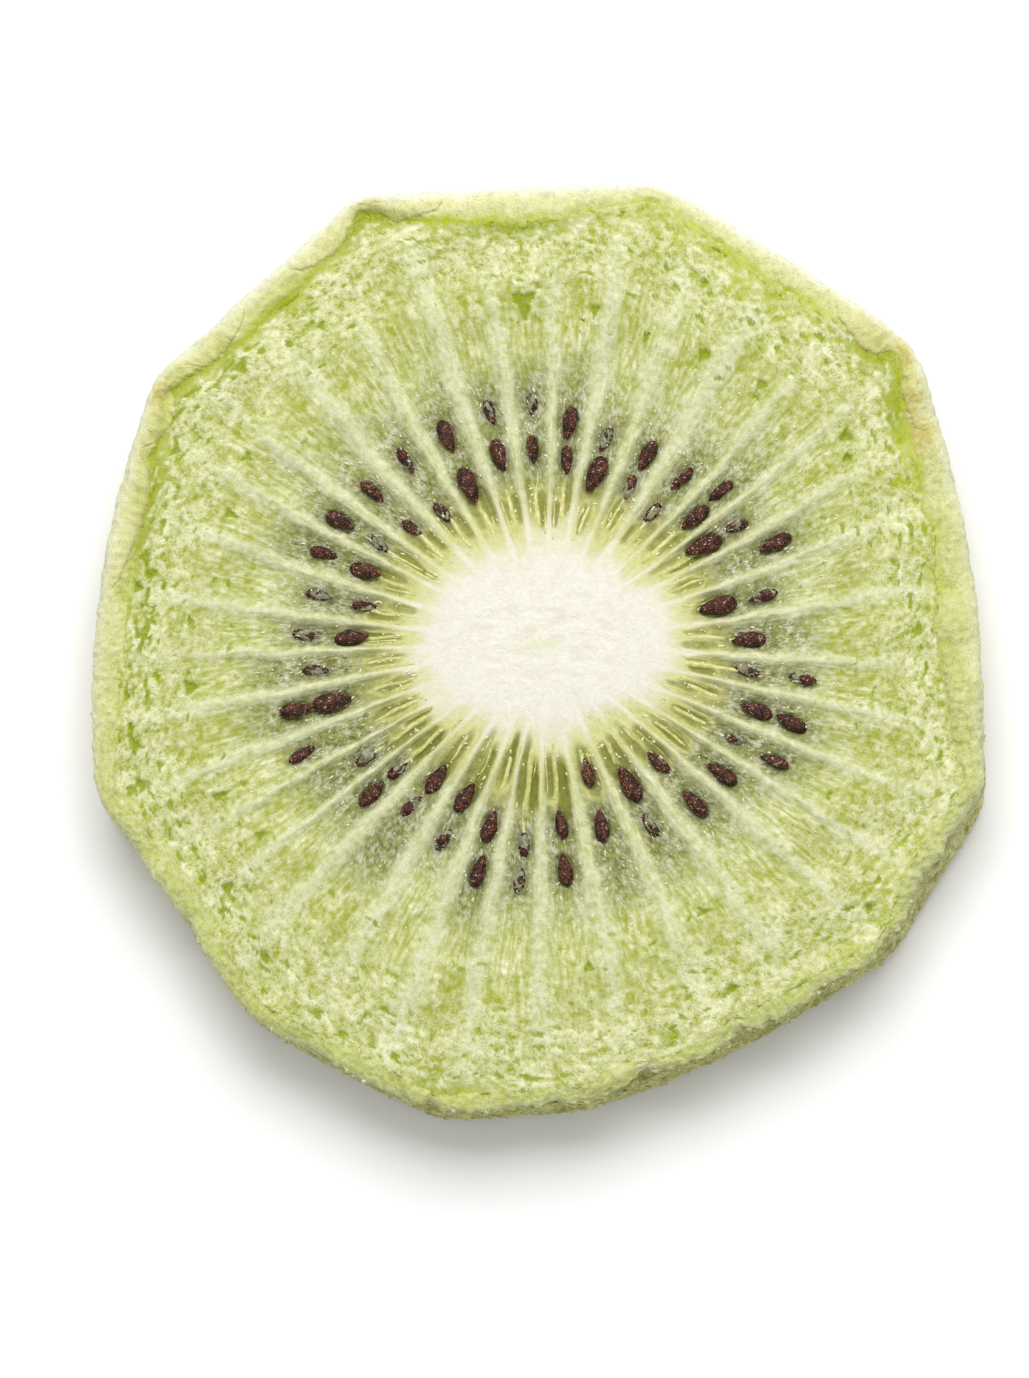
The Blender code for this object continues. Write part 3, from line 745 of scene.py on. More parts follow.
def flesh_material(name):
    """Dried flesh: crumbs and cracks, streaks, chamber floors, rays, pockets and pith, with painted shade
    round the seeds, in the pits and in the recesses of the fold, and painted glow in the fold, each laid
    over the last by its own tint, with fine speckle that breaks their edges."""
    material, speckle, tint = new_material(name)
    fine, mid, broad, flakes = speckle(0.11, 3), speckle(0.35, 1), speckle(2.2), speckle(0.24, 1, 1.5)
    open_grain = 0.35 + 0.65 * tint("sponge")
    dark_flakes = (1 - flakes.step(0.33, 0.43)) * (1.5 - tint("pale")) * open_grain * 0.5
    floor = blend(flakes * 1.1 + mid * 1.1 - 0.60, (62, 68, 20), (178, 181, 96))
    olive = blend(flakes * 0.4 + mid * 0.9 - 0.15, (126, 129, 48), (200, 198, 122))
    ray = blend(flakes * 0.3 + mid * 1.1 - 0.2, (198, 203, 134), (246, 246, 217))
    pocket = blend(fine * 0.3 + mid * 0.8, (90, 97, 22), (160, 161, 72))
    covered = blend(flakes * 1.2 + mid * 0.6 - 0.4, (42, 37, 26), (182, 184, 158))
    colour = blend(tint("pale") + (mid - 0.5) * 0.9, (174, 183, 62), (254, 253, 209))
    colour = laid_over(
        colour,
        ((broad - 0.35) * 0.4, (214, 218, 136)),
        (dark_flakes, (146, 158, 44)),
        (flakes.step(0.52, 0.66) * open_grain * 0.30, (252, 252, 228)),
        (tint("crack") * (0.4 + 0.7 * mid), (160, 173, 44)),
        (tint("streak") * (0.35 + 0.7 * mid), (164, 174, 48)),
        (tint("floor") * 0.9, floor),
        (tint("olive"), olive),
        # Painted shade round each seed, in grey-green.
        (tint("seed_shade") * 0.3, (92, 92, 46)),
        (tint("cotton") * (0.15 + 0.8 * mid), (236, 238, 212)),
        (tint("ray"), ray),
        # Painted shade and green glow in the pits, whose relief is kept shallow.
        (tint("pit") * (0.6 + 0.6 * mid), (148, 166, 18)),
        (tint("yellow") * (0.35 + 0.7 * mid), (220, 218, 138)),
        # Painted glow in the fold: the flesh's green made brighter and more saturated.
        (tint("green_glow") * (0.35 + 0.5 * mid + 0.5 * flakes), (196, 207, 60)),
        # Painted shade in the recesses of the fold, with its painted shadow line at the crease.
        (tint("deep") * (flakes * 2.2 - 0.3), (150, 163, 16)),
    )
    colour = laid_over(
        speckled(colour, fine, 0.55),
        (tint("pith"), pith_colour(speckle)),
        (tint("yellow") * 0.52, (225, 222, 152)),
        (tint("pocket"), pocket),
        (tint("covered"), covered),
    )
    finish(material, colour, 0.75, fine * 0.4 + flakes * 0.7 + mid * 0.3, 0.035, 0.12)
    return material


COLUMNS = CHAMBERS * 36
TOP_ROWS, UNDER_ROWS = 52, 18
TUCKS = ((0.6, 0.008), (1.3, 0.05))  # rows tucked under the neighbour: rows on, and millimetres sunk
RING_ENDS = (-0.17, 0.24)  # the seed ring runs between these shares of the way out


def flesh_ring(name, start, end, material):
    """A closed ring of flesh between two shares of the way out. Its upper face runs outward and its lower
    one back, and both edges of each are tucked under the next piece, where a hidden wall joins them."""
    step = (end - start) / (TOP_ROWS - 1)
    phases = np.arange(COLUMNS) * CHAMBERS / COLUMNS
    before = [(start - rows * step, sunk) for rows, sunk in reversed(TUCKS)]
    after = [(end + rows * step, sunk) for rows, sunk in TUCKS]
    top = before + [(out, 0) for out in np.linspace(start, end, TOP_ROWS)] + after
    below = list(reversed(after)) + [(out, 0) for out in np.linspace(end, start, UNDER_ROWS)]
    below = below + list(reversed(before))
    faces = []
    for rows, under in ((top, False), (below, True)):
        outs = np.array([row[0] for row in rows])[:, None]
        sunk = np.array([row[1] for row in rows])[:, None]
        points, tints = cut_face(phases[None, :], outs, under)
        points[..., 2] += sunk if under else -sunk
        faces.append((points, tints))
    (top_points, top_tints), (under_points, under_tints) = faces
    tints = {key: np.concatenate([top_tints[key], under_tints[key]]) for key in top_tints}
    return skin(name, np.concatenate([top_points, under_points]), tints, material)


flesh_ring("seed_ring", *RING_ENDS, flesh_material("chamber_flesh"))

# ------------------------------------------------------------------------------------------------ core
# The pith in the middle of the fruit, close-grained and cream white. It dried harder than the flesh, stands
# a little proud as a low dome, and the slice rests on its flat underside.
CORE_COLUMNS, CORE_TOP_ROWS, CORE_UNDER_ROWS = 630, 60, 20
INNERMOST = 0.006  # the first row of the dome, as a share of its radius
CORE_TUCKS = ((1.012, 0.008), (1.03, 0.05))  # rows tucked under the ring: share of its edge, and how deep


def pith_material():
    """Cream pith with faint swirled fibres, and a touch of green in the very middle."""
    material, speckle, tint = new_material("pith")
    fine, swirl = speckle(0.13, 3, 0.6), speckle(0.55, 2, 2.0)
    colour = laid_over(
        pith_colour(speckle),
        (tint("fibre") * 0.5, (254, 251, 244)),
        (tint("gap") * 0.5, (224, 217, 186)),
        (tint("heart") * 0.5, (226, 232, 176)),
    )
    finish(material, colour, 0.7, fine * 0.1 + swirl, 0.05)
    return material


def pith_fibres(x, y):
    """Fibres of the pith, drawn out along X and waved: two noises that are three times as long as wide."""
    wave = y + 0.35 * noise(x / 2.6, y / 2.6, 5.0)
    return noise(x / 1.5, wave / 0.42, 3.0) + 0.6 * noise(x / 0.7, wave / 0.22, 7.0)


def pith_height(x, y, share):
    """Relief of the pith: fine grain, and fibres that fade toward its edge."""
    return 0.022 * pith_fibres(x, y) * (1 - share) + 0.006 * (
        noise(x / 0.34, y / 0.34) + 0.6 * noise(x / 0.17, y / 0.17, 9.0)
    )


core_phase = np.arange(CORE_COLUMNS)[None, :] * CHAMBERS / CORE_COLUMNS
core_bearing = bearing_at(core_phase, 0)
tuck_share, tuck_depth = np.array(CORE_TUCKS).T
top_share = np.concatenate([np.linspace(INNERMOST, 1, CORE_TOP_ROWS), tuck_share])
under_share = np.concatenate([tuck_share[::-1], np.linspace(1, INNERMOST, CORE_UNDER_ROWS)])
share = np.concatenate([top_share, under_share])[:, None]
tucked = np.concatenate([
    np.zeros(CORE_TOP_ROWS), tuck_depth, tuck_depth[::-1], np.zeros(CORE_UNDER_ROWS)])[:, None]
core_radius = share * radius_at(RING_ENDS[0], core_bearing)
x, y = spot(core_radius, core_bearing)
dome = CORE_TOP + CORE_RISE * (1 - (core_radius / core_edge(core_bearing)) ** 2)
is_top = np.arange(len(share))[:, None] < len(top_share)
height = np.where(is_top, dome + pith_height(x, y, share) - tucked, tucked)
heart = np.exp(-((x + 0.1) / 1.1) ** 2 - ((y + 0.25) / 0.35) ** 2)
fibre = pith_fibres(x, y) * (1 - share**4)
core_tints = {"heart": heart, "fibre": np.clip(fibre, 0, 1), "gap": np.clip(-fibre, 0, 1)}
core_points = np.stack([x, y, height], axis=-1)
skin("core", core_points, core_tints, pith_material(), wrapped=False)

# ------------------------------------------------------------------------------------------------ flesh
# The flesh between the seeds and the rim, in two rings: the inner one, where rays and green streaks fade
# out, and the outer one, a fine pale sponge with green pits, that runs down into the fold of the rim.
FLESH_ENDS = (RING_ENDS[1], 0.60, 1.0)
flesh_ring("inner_flesh", FLESH_ENDS[0], FLESH_ENDS[1], flesh_material("streaked_flesh"))
flesh_ring("outer_flesh", FLESH_ENDS[1], FLESH_ENDS[2], flesh_material("spongy_flesh"))

# ------------------------------------------------------------------------------------------------- rim
# The outside of the peeled fruit. As it dried it folded in over the cut face and set as a waxy lip, curled
# furthest at some corners. Below the lip is the spongy side wall, which crumbles at its foot.
WALL_TOP, WALL_FOOT = 4.45, 0.42
SKIRT = ((331.0, 11.0, 0.40),)  # where the wall spreads at its foot: bearing, spread, and millimetres out
# This bearing also sets where the wall's darker tone is strongest.
CRUMBLED = (285, 58)  # where the wall and its upper edge crumbled most: bearing and spread
# Across the rim and down the wall: share of the rim's width, height, and what a full curl adds to each.
RIM_RINGS = (
    (0.00, CREASE_HEIGHT, 0.00, -CREASE_SINKS),
    (0.24, 5.17, 0.10, -0.08),
    (0.62, 5.08, 0.15, 0.35),
    (0.90, 4.86, 0.15, 0.62),
    (1.00, WALL_TOP, 0.00, 0.33),
    (0.92, 2.90, 0.00, 0.00),
    (1.00, 1.35, 0.00, 0.00),
    (0.72, WALL_FOOT, 0.00, 0.00),
)
# Chips broken from the upper edge, where more of the wall shows: bearing, spread, and millimetres in.
CHIPS = (
    (283, 2.6, 0.50), (256, 2.0, 0.30), (296, 3.0, 0.30), (309, 2.5, 0.28), (318, 2.0, 0.35),
    (327, 3.0, 0.30), (336, 3.0, 0.30), (270, 3.0, 0.20), (241, 2.0, 0.20), (218, 2.0, 0.15),
    (205, 2.0, 0.15),
)
# Where the lip has browned: bearing and spread.
BROWNED = ((38.5, 5.0), (33.0, 4.0), (112.0, 1.5), (147.0, 3.0), (231.0, 3.5), (28.5, 3.0))
# Where it is waxy, and where the light from the top of the picture falls on it: bearing, spread, how much.
WAXY = ((138, 36, 1.0), (38.5, 8, 1.0), (75, 25, 0.9), (190, 22, 0.6), (5, 20, 0.7), (258, 7, 0.6))
LIGHTED = ((88, 60, 0.88), (170, 24, 0.15))
RIM_ROWS = 70
RIM_LEAST = 0.03  # it clears the floor by this
RIM_TUCK, RIM_SUNK = 0.25, 0.05  # how far in its edges are tucked under the flesh, and how deep
SPOTS = table_random.random((TABLE, TABLE, TABLE, 3), np.float32)


def pores(x, y, z=0.0):
    """Distance to the nearest of random spots, one spot in each unit cube."""
    place = np.broadcast_arrays(x, y, z)
    whole = [np.floor(value).astype(int) for value in place]
    nearest = np.full(place[0].shape, 9.0)
    for step in np.ndindex(3, 3, 3):
        cube = [floor + move - 1 for floor, move in zip(whole, step)]
        spots = SPOTS[tuple(floor % TABLE for floor in cube)]
        away = np.sqrt(sum((cube[axis] + spots[..., axis] - place[axis]) ** 2 for axis in range(3)))
        nearest = np.minimum(nearest, away)
    return nearest


def through(rings, along):
    """A curve through a stack of rings, at places along it: a Catmull-Rom curve, which passes through each
    ring with the slope of the line between its neighbours."""
    padded = np.concatenate([rings[:1], rings, rings[-1:]])
    ring = np.clip(np.floor(along).astype(int), 0, len(rings) - 2)
    part = (along - ring)[:, None, None]
    first, second, third, fourth = (padded[ring + offset] for offset in range(4))
    return 0.5 * (
        2 * second
        + (third - first) * part
        + (2 * first - 5 * second + 4 * third - fourth) * part**2
        + (3 * second - first - 3 * third + fourth) * part**3
    )


def rim_material():
    """A waxy lip, with painted green glow in the fold and painted light at its outer edge, cream to near
    white on the sides the light falls on, over a greyer spongy wall.
    """
    material, speckle, tint = new_material("dried_rim")
    fine, mid, broad, flakes = speckle(0.10, 3), speckle(0.4), speckle(1.8), speckle(0.24, 1, 1.5)
    pale = (tint("pale") + (mid - 0.5) * 0.9).clamped()
    waxy = blend(pale * 1.1 + 0.4 * broad - 0.27, (203, 207, 106), (243, 242, 184))
    wall = blend(fine - 0.5 + (mid - 0.5) * 1.6 + broad, (148, 148, 62), (240, 239, 166))
    edge = tint("across") + (broad - 0.5) * 0.4 + (mid - 0.5) * 0.3
    open_grain = 1 - 0.6 * tint("waxy")
    colour = laid_over(
        blend(pale, (173, 182, 70), (245, 246, 200)),
        (tint("waxy"), waxy),
        # Painted light: the outer edge made cream, then near white, on the sides the light falls on.
        (edge.step(0.02, 0.52) * tint("lit"), (238, 236, 176)),
        (edge.step(0.45, 0.92) * tint("lit"), (252, 251, 234)),
        ((1 - flakes.step(0.33, 0.43)) * open_grain * 0.45, (160, 168, 66)),
        (flakes.step(0.52, 0.66) * open_grain * 0.35, (250, 250, 220)),
        # Painted glow in the fold: the green made brighter and more saturated.
        (tint("green_glow") * (0.7 + 0.7 * mid), (192, 205, 48)),
        (tint("tinge") * (mid * 1.7 - 0.15), (204, 186, 98)),
        (tint("wall"), wall),
        # Painted shade in the wall's pores.
        (tint("pit") * 0.5, (120, 122, 56)),
    )
    finish(material, speckled(colour, fine, 0.5), 0.62 + 0.2 * tint("wall"), fine * 0.6 + mid, 0.05, 0.12)
    return material


rim = bearing_at(np.arange(COLUMNS) * CHAMBERS / COLUMNS, 1.0)
rim_turns = rim * TABLE / 360
width, folded = outline(rim) - crease(rim), lip_curl(rim)
ragged = noise(rim_turns * 2, 0.0, 2.0) + 0.6 * noise(rim_turns * 5, 0.0, 4.0)
uneven = noise(rim_turns * 3, 0.0, 8.0) + 0.6 * noise(rim_turns * 7, 0.0, 10.0)
lower = bearing_bell(rim, *CRUMBLED)
chipped = bells(rim, CHIPS) * (1 + 0.5 * ragged) + (0.14 + 0.18 * ragged) * lower
rings = []
for number, (share, height, inward, upward) in enumerate(RIM_RINGS):
    foot = 1 - smooth_step(WALL_FOOT, WALL_TOP, height)
    lip = bell(number, 1.3, 0.9) * (0.4 + folded)
    spread = bells(rim, SKIRT) * foot
    spread = spread - chipped * smooth_step(2.0, 4.4, height) * smooth_step(0.5, 1.5, number)
    radius = outline(rim) - (1 - share + inward * folded) * width + spread
    radius = radius - 0.10 * ragged * lip + 0.05 * uneven * (1 - lip)
    rise = height + upward * folded + lumps(radius, rim) + 0.05 * ragged * lip
    rings.append(np.stack([radius, rise], axis=-1))
rings.append(np.stack([crease(rim), under_height(0, 1.0, crease(rim), rim)], axis=-1))
rings = np.stack(rings)

# Rows are evenly spaced down this profile, and their relief stands out from it squarely.
ring_steps = np.linalg.norm(np.diff(rings.mean(axis=1), axis=0), axis=1)
ring_lengths = np.concatenate([[0], np.cumsum(ring_steps)])
along = np.interp(np.linspace(0, ring_lengths[-1], RIM_ROWS), ring_lengths, np.arange(len(rings)))
profile = through(rings, along)
plain = np.stack([*spot(profile[..., 0], rim), profile[..., 1]], axis=-1)
outward = np.cross(np.gradient(plain, axis=0), np.roll(plain, -1, 1) - np.roll(plain, 1, 1))
outward /= np.linalg.norm(outward, axis=-1, keepdims=True)
x, y, z = np.moveaxis(plain, -1, 0)
down = along[:, None]  # how many rings down each row lies
grain = noise(x / 0.34, y / 0.34, z / 0.34) + 0.6 * noise(x / 0.17, y / 0.17, z / 0.17)
swell = noise(x / 1.5, y / 1.5, z / 1.1 + 13)
wall = smooth_step(3.4, 4.5, down + 0.55 * swell + 0.40 * grain - 0.5 * folded + 1.2 * lower - 0.7)
# The wall's darker tone shows in full only round CRUMBLED, towards the lower right, and at six tenths of it
# elsewhere.
wall = wall * (0.6 + 0.4 * lower)
to_pore = pores(x / 0.7 + 0.25 * grain, y / 0.7, z / 0.6 + 0.2 * swell)
pit = (1 - smooth_step(0.18, 0.46, to_pore + 0.15 * swell)) * (0.25 + 0.75 * wall)
crumb = sponge(x + 0.7 * z, y + 0.7 * z, z)
striae = noise(rim_turns * 7, 0.0, 6.0) * bell(down, 3.0, 1.2)
layers = noise(rim_turns * 2 + 0.4 * swell, down * 2.6 + 0.5 * swell, 60.5)
edge = bell(down, 3.9, 0.8)
relief = 0.04 * grain * (0.4 + wall * (0.2 + 0.8 * lower)) + 0.07 * swell - 0.18 * pit + 0.015 * striae
relief = relief + (0.05 + (0.14 * wall + 0.10 * edge) * (0.25 + 0.75 * lower)) * (crumb - 0.6)
relief = relief + 0.08 * (1 - smooth_step(1.6, 3.4, down)) * (crumb - 0.6)
relief = relief + 0.07 * layers * lower * smooth_step(2.0, 3.2, down)
ends = smooth_step(0.0, 0.5, down) * (1 - smooth_step(len(rings) - 1.6, len(rings) - 1, down))
rim_points = plain + outward * (relief * ends)[..., None]
rim_points[..., 2] = np.maximum(rim_points[..., 2], RIM_LEAST)
tucks = []
for row, depth in ((0, -RIM_SUNK), (-1, RIM_SUNK)):
    inward = RIM_TUCK * plain[row] * (1, 1, 0) / profile[row, :, :1]
    tucks.append((plain[row] + np.array([0, 0, depth]) - inward)[None])
rim_points = np.concatenate([tucks[0], rim_points, tucks[1]])

brown = bells(rim, BROWNED) * bell(down, 1.6, 1.4) * smooth_step(-0.3, 0.5, swell + 0.6 * grain)
# Painted glow in the rim's fold, with more of it on the sides turned from the light.
fold_end = 1.0 + bells(rim, ((128, 26, 0.8), (62, 24, 0.2)))
rim_green_glow = fold_glow(rim) * (1 - smooth_step(0.0, 1.2, (down + 0.45 * grain + 0.60 * swell) / fold_end))
side_green_glow = (1 - bells(rim, ((80, 92), (177, 22, 0.7)))) * bell(down, 1.8, 1.8)
rim_green_glow = np.maximum(rim_green_glow, 0.36 * side_green_glow * np.clip(0.9 + 0.6 * swell + 0.5 * grain, 0, 1.6))
rim_tints = {
    key: np.concatenate([tint[:1], tint, tint[-1:]])
    for key, tint in (
        ("across", smooth_step(0.0, 4.0, down) + 0 * x), ("wall", wall), ("pit", pit),
        ("tinge", np.clip(brown, 0, 1)), ("pale", 0.52 + 0.55 * (crumb - 0.6) + 0.28 * swell + 0.15 * striae),
        ("lit", 0.18 + bells(rim, LIGHTED) + 0 * x), ("waxy", np.clip(bells(rim, WAXY), 0, 1) + 0 * x),
        ("green_glow", rim_green_glow),
    )
}
rim_look = rim_material()
skin("rim", rim_points, rim_tints, rim_look)

# ------------------------------------------------------------------------------------------------ flaps
# Where the peeled edge curled over furthest, thin flaps of it lie in over the green fold, crumpled, with free
# edges that dried tan. Each grows out of the rim, takes its look from the rim beneath, and has a thickness.
# Each flap: how brown, and then where its free edge runs: bearing, and millimetres in from the outline.
FLAPS = (
    (0.25, ((50, 0.9), (46, 1.50), (43, 1.85), (40.5, 1.80), (39, 0.95))),
    (0.9, ((37.8, 0.95), (36.3, 1.45), (34.8, 1.60), (32, 1.50), (30, 1.42), (27.5, 1.0))),
    (0.4, ((112.5, 0.7), (110.7, 1.2), (109.3, 1.7), (106.6, 1.45), (102, 1.1))),
    (0.3, ((125, 0.8), (121, 1.45), (117.7, 1.70), (115.9, 1.55), (114, 0.8))),
    (0.5, ((143, 0.8), (140.6, 1.55), (138.6, 1.65), (135, 1.35), (131, 0.8))),
    (0.6, ((155, 0.8), (151.5, 1.4), (149.3, 1.75), (146.4, 1.5), (144.5, 0.8))),
    (0.1, ((174, 0.8), (168, 1.4), (163.9, 1.65), (158.2, 1.65), (156.5, 1.4), (154, 0.8))),
    (0.3, ((289, 0.7), (284, 1.1), (280.5, 1.5), (277.5, 1.35), (274, 0.7))),
)
FLAP_ROWS, FLAP_COLUMNS, FLAP_ROOT, FLAP_THICKNESS = 90, 7, 0.35, 0.05
BENEATH = slice(1, 25)  # the rows of the rim, from the crease out, that flaps can lie over


def from_rim(values, radius, columns):
    """The rim's values beneath a flap: those of its nearest columns, at the same radius."""
    rim_radius = np.hypot(rim_points[BENEATH, :, 0], rim_points[BENEATH, :, 1])
    return np.stack([
        np.interp(radius[row], rim_radius[:, column], values[BENEATH, column])
        for row, column in enumerate(columns)
    ])


column_order = np.argsort(np.mod(rim, 360))
column_bearings = np.mod(rim, 360)[column_order]
inward = np.concatenate([np.linspace(0, 1, FLAP_COLUMNS), np.linspace(1, 0, FLAP_COLUMNS)])
over = np.repeat([1.0, 0.0], FLAP_COLUMNS)  # 1 on the upper side of a flap, and 0 on its lower one
for number, (browned, nodes) in enumerate(FLAPS):
    node_bearings, node_reaches = np.array(sorted(nodes)).T
    bearings = np.linspace(node_bearings[0], node_bearings[-1], FLAP_ROWS)[:, None]
    turns = bearings * TABLE / 360
    reach = np.interp(bearings, node_bearings, node_reaches)
    reach = reach + 0.10 * noise(turns * 6, 0.0, number) + 0.06 * noise(turns * 17, 0.0, number + 9.0)
    reach = reach + 0.04 * noise(turns * 41, 0.0, number + 19.0)
    from_end = np.minimum(bearings - node_bearings[0], node_bearings[-1] - bearings)
    reach = FLAP_ROOT + (reach - FLAP_ROOT) * smooth_step(-0.6, 2.4, from_end)
    radius = outline(bearings) - FLAP_ROOT - (reach - FLAP_ROOT) * inward - 0.14 * inward * (1 - over)
    columns = column_order[np.searchsorted(column_bearings, bearings[:, 0]) % COLUMNS]

    crumple = noise(turns * 5, radius * 0.8, 20.0 + number) + 0.5 * noise(turns * 13, radius * 2.2, 30.0)
    stands = 0.04 + 0.14 * inward * np.clip(crumple, 0, 1)
    rises = smooth_step(0.0, 2.2, from_end) * smooth_step(0.0, 0.5, inward)
    height = from_rim(rim_points[..., 2], radius, columns) - 0.06 - 0.2 * inward * (1 - over)
    height = height + over * rises * (stands + 0.06 + FLAP_THICKNESS * (1.3 - inward))
    points = np.stack([*spot(radius, bearings), height], axis=-1)

    tints = {key: from_rim(tint, radius, columns) for key, tint in rim_tints.items()}
    grain = noise(points[..., 0] / 0.5, points[..., 1] / 0.5, 3.0 + number)
    browning = browned * smooth_step(0.35, 1.0, inward) * smooth_step(-0.25, 0.4, grain)
    browning = np.maximum(browning, 0.6 * smooth_step(0.75, 1.0, inward))
    # Painted light on the top of each flap, fading out at its free edge.
    lit = np.maximum(tints["lit"], 0.8 * bell(inward, 0.7, 0.2)) * over
    tints["tinge"] = np.maximum(tints["tinge"], browning)
    # The flap's lower side and bevelled edge take the full painted glow in place of shade.
    tints["green_glow"] = np.maximum(tints["green_glow"] * (1 - 0.8 * inward), 1 - over)
    tints["waxy"] = np.maximum(tints["waxy"], inward)
    tints["across"] = np.maximum(tints["across"], 0.75 * over * smooth_step(0.5, 1.0, inward))
    tints["lit"] = lit * (1 - 0.9 * smooth_step(0.7, 1.0, inward))
    tints = {key: np.clip(tint, 0, 1) for key, tint in tints.items()}
    skin(f"flap_{number + 1}", points, tints, rim_look, wrapped=False)

# ----------------------------------------------------------------------------------------------- seeds
# The seeds: hard, dark maroon almonds with a finely pitted satin coat, bedded in the chambers with their
# points to the core. Pale flecks on them are partly specks of dried film and partly painted highlights.
SEED_RINGS, SEED_SIDES = 34, 26
SEED_PIT, SEED_PIT_DEPTH = 0.15, 0.10  # how far apart its pits are, and their depth as a share of its size


def seed_material():
    """Maroon coat mottled with near black, with pale flecks that are partly film and partly painted
    highlights.
    """
    material, speckle, _ = new_material("seed_coat")
    fine, mid = speckle(0.10, 3), speckle(0.3)
    colour = blend((fine * 0.6 + mid * 0.4).step(0.40, 0.62), (11, 1, 0), (114, 54, 30))
    # Pale flecks: partly film, partly painted highlights of the glossy coat.
    colour = laid_over(colour, (fine.step(0.60, 0.67) * mid.step(0.44, 0.54), (216, 192, 164)))
    finish(material, colour, 0.32, fine, 0.10, 0.32)
    return material


def shifted(faces, offset):
    """The same faces for corners that come this many places later."""
    return [tuple(offset + corner for corner in face) for face in faces]


ring_turn = np.linspace(0, np.pi, SEED_RINGS + 2)[1:-1, None]
side_turn = np.arange(SEED_SIDES) * 2 * np.pi / SEED_SIDES
girth = seed_half_width(-np.cos(ring_turn))
form = np.stack(np.broadcast_arrays(
    -np.cos(ring_turn), girth * np.cos(side_turn), girth * np.sin(side_turn)), axis=-1)
form = np.concatenate([form.reshape(-1, 3), [(-1, 0, 0), (1, 0, 0)]])
form_faces = net(SEED_RINGS, SEED_SIDES, turned=True)
seed_places, seed_faces = [], []
for number, (letter, seed_x, seed_y, seed_height, seed_turn, _) in enumerate(LAID_SEEDS):
    x, y, z = (form * np.array(SEED_SIZES[letter][:3]) / 2).T
    nearest = pores(x / SEED_PIT, y / SEED_PIT + number * 3.1, z / SEED_PIT)
    uneven = 1 + 0.05 * noise(x / 0.6, y / 0.6 + number, z / 0.6)
    uneven = uneven - SEED_PIT_DEPTH * (1 - smooth_step(0.1, 0.5, nearest))
    x, y = swung(x * uneven, y * uneven, seed_turn)
    seed_places.append(np.stack([seed_x + x, seed_y + y, seed_height + z * uneven], axis=-1))
    seed_faces += shifted(form_faces, number * len(form))
piece("seeds", np.concatenate(seed_places), seed_faces, seed_material())

# --------------------------------------------------------------------------------------------- strands
# Pale yellow threads, through which the seeds were fed: each runs from the pith along the middle of its
# chamber to the point of the inner seed, and finer ones branch beside it.
STRAND_ROWS, STRAND_SIDES = 26, 7
STRAND_THICKNESS, BRANCH_THICKNESS = 0.19, 0.11  # half their width, where thickest
WAY = 15  # millimetres from the core's edge to the crease, nearly enough
strand_random = np.random.default_rng(21)


def strand_material():
    """Soft yellow threads, paler where they are dry."""
    material, speckle, _ = new_material("strand")
    fine = speckle(0.3, 2)
    colour = blend(fine.step(0.35, 0.65), (206, 203, 116), (232, 230, 166))
    finish(material, colour, 0.55, fine, 0.03)
    return material


def tube(path, thickness):
    """Rings of corners round a path that runs level: the ring's middle, plus its half width sideways and up,
    thickest at a third of the way and drawn out to a point at its end."""
    along = np.linspace(0, 1, len(path))
    girth = thickness * np.clip(1.15 - 0.75 * along, 0.2, 1) * np.clip(along / 0.08, 0.3, 1)
    heading = np.gradient(path, axis=0)
    sideways = np.stack([-heading[:, 1], heading[:, 0], 0 * along], axis=-1)
    sideways /= np.linalg.norm(sideways, axis=-1, keepdims=True)
    turn = np.arange(STRAND_SIDES) * 2 * np.pi / STRAND_SIDES
    rings = path[:, None] + girth[:, None, None] * (
        np.cos(turn)[None, :, None] * sideways[:, None] + np.sin(turn)[None, :, None] * np.array([0, 0, 1.0])
    )
    return np.concatenate([rings.reshape(-1, 3), path[[0, -1]]])


tube_faces = net(STRAND_ROWS, STRAND_SIDES, turned=True)
strand_places, strand_faces = [], []
for chamber, seed in enumerate(INNER_SEEDS):
    for branch in range(2):
        if branch == 0:
            reach = 0.17 if seed == ".." else SEED_STEP * int(seed[1]) / WAY
            reach = reach * strand_random.uniform(0.8, 1.0) + 0.10
        else:
            reach = strand_random.uniform(0.06, 0.2)
        outs = np.linspace(strand_random.uniform(-0.05, 0.01), max(reach, 0.08), STRAND_ROWS)
        aside, thickness = 0.5, STRAND_THICKNESS
        if branch == 1:
            aside = strand_random.choice([0.22, 0.78]) + strand_random.uniform(-0.1, 0.1)
            thickness = BRANCH_THICKNESS
        waver = 0.13 * noise(outs * 8, chamber * 3.7 + 0.5, branch * 5.3)
        waver = waver + 0.02 * noise(outs * 40, chamber * 3.7, 3.0)
        points, _ = cut_face(chamber + aside + waver, outs)
        smoothed = np.convolve(np.pad(points[:, 2], 3, mode="edge"), np.ones(7) / 7, mode="valid")
        points[:, 2] = smoothed - 0.6 * thickness
        strand = tube(points, thickness * strand_random.uniform(0.75, 1.0))
        strand_faces += shifted(tube_faces, len(strand_places) * len(strand))
        strand_places.append(strand)
piece("strands", np.concatenate(strand_places), strand_faces, strand_material())

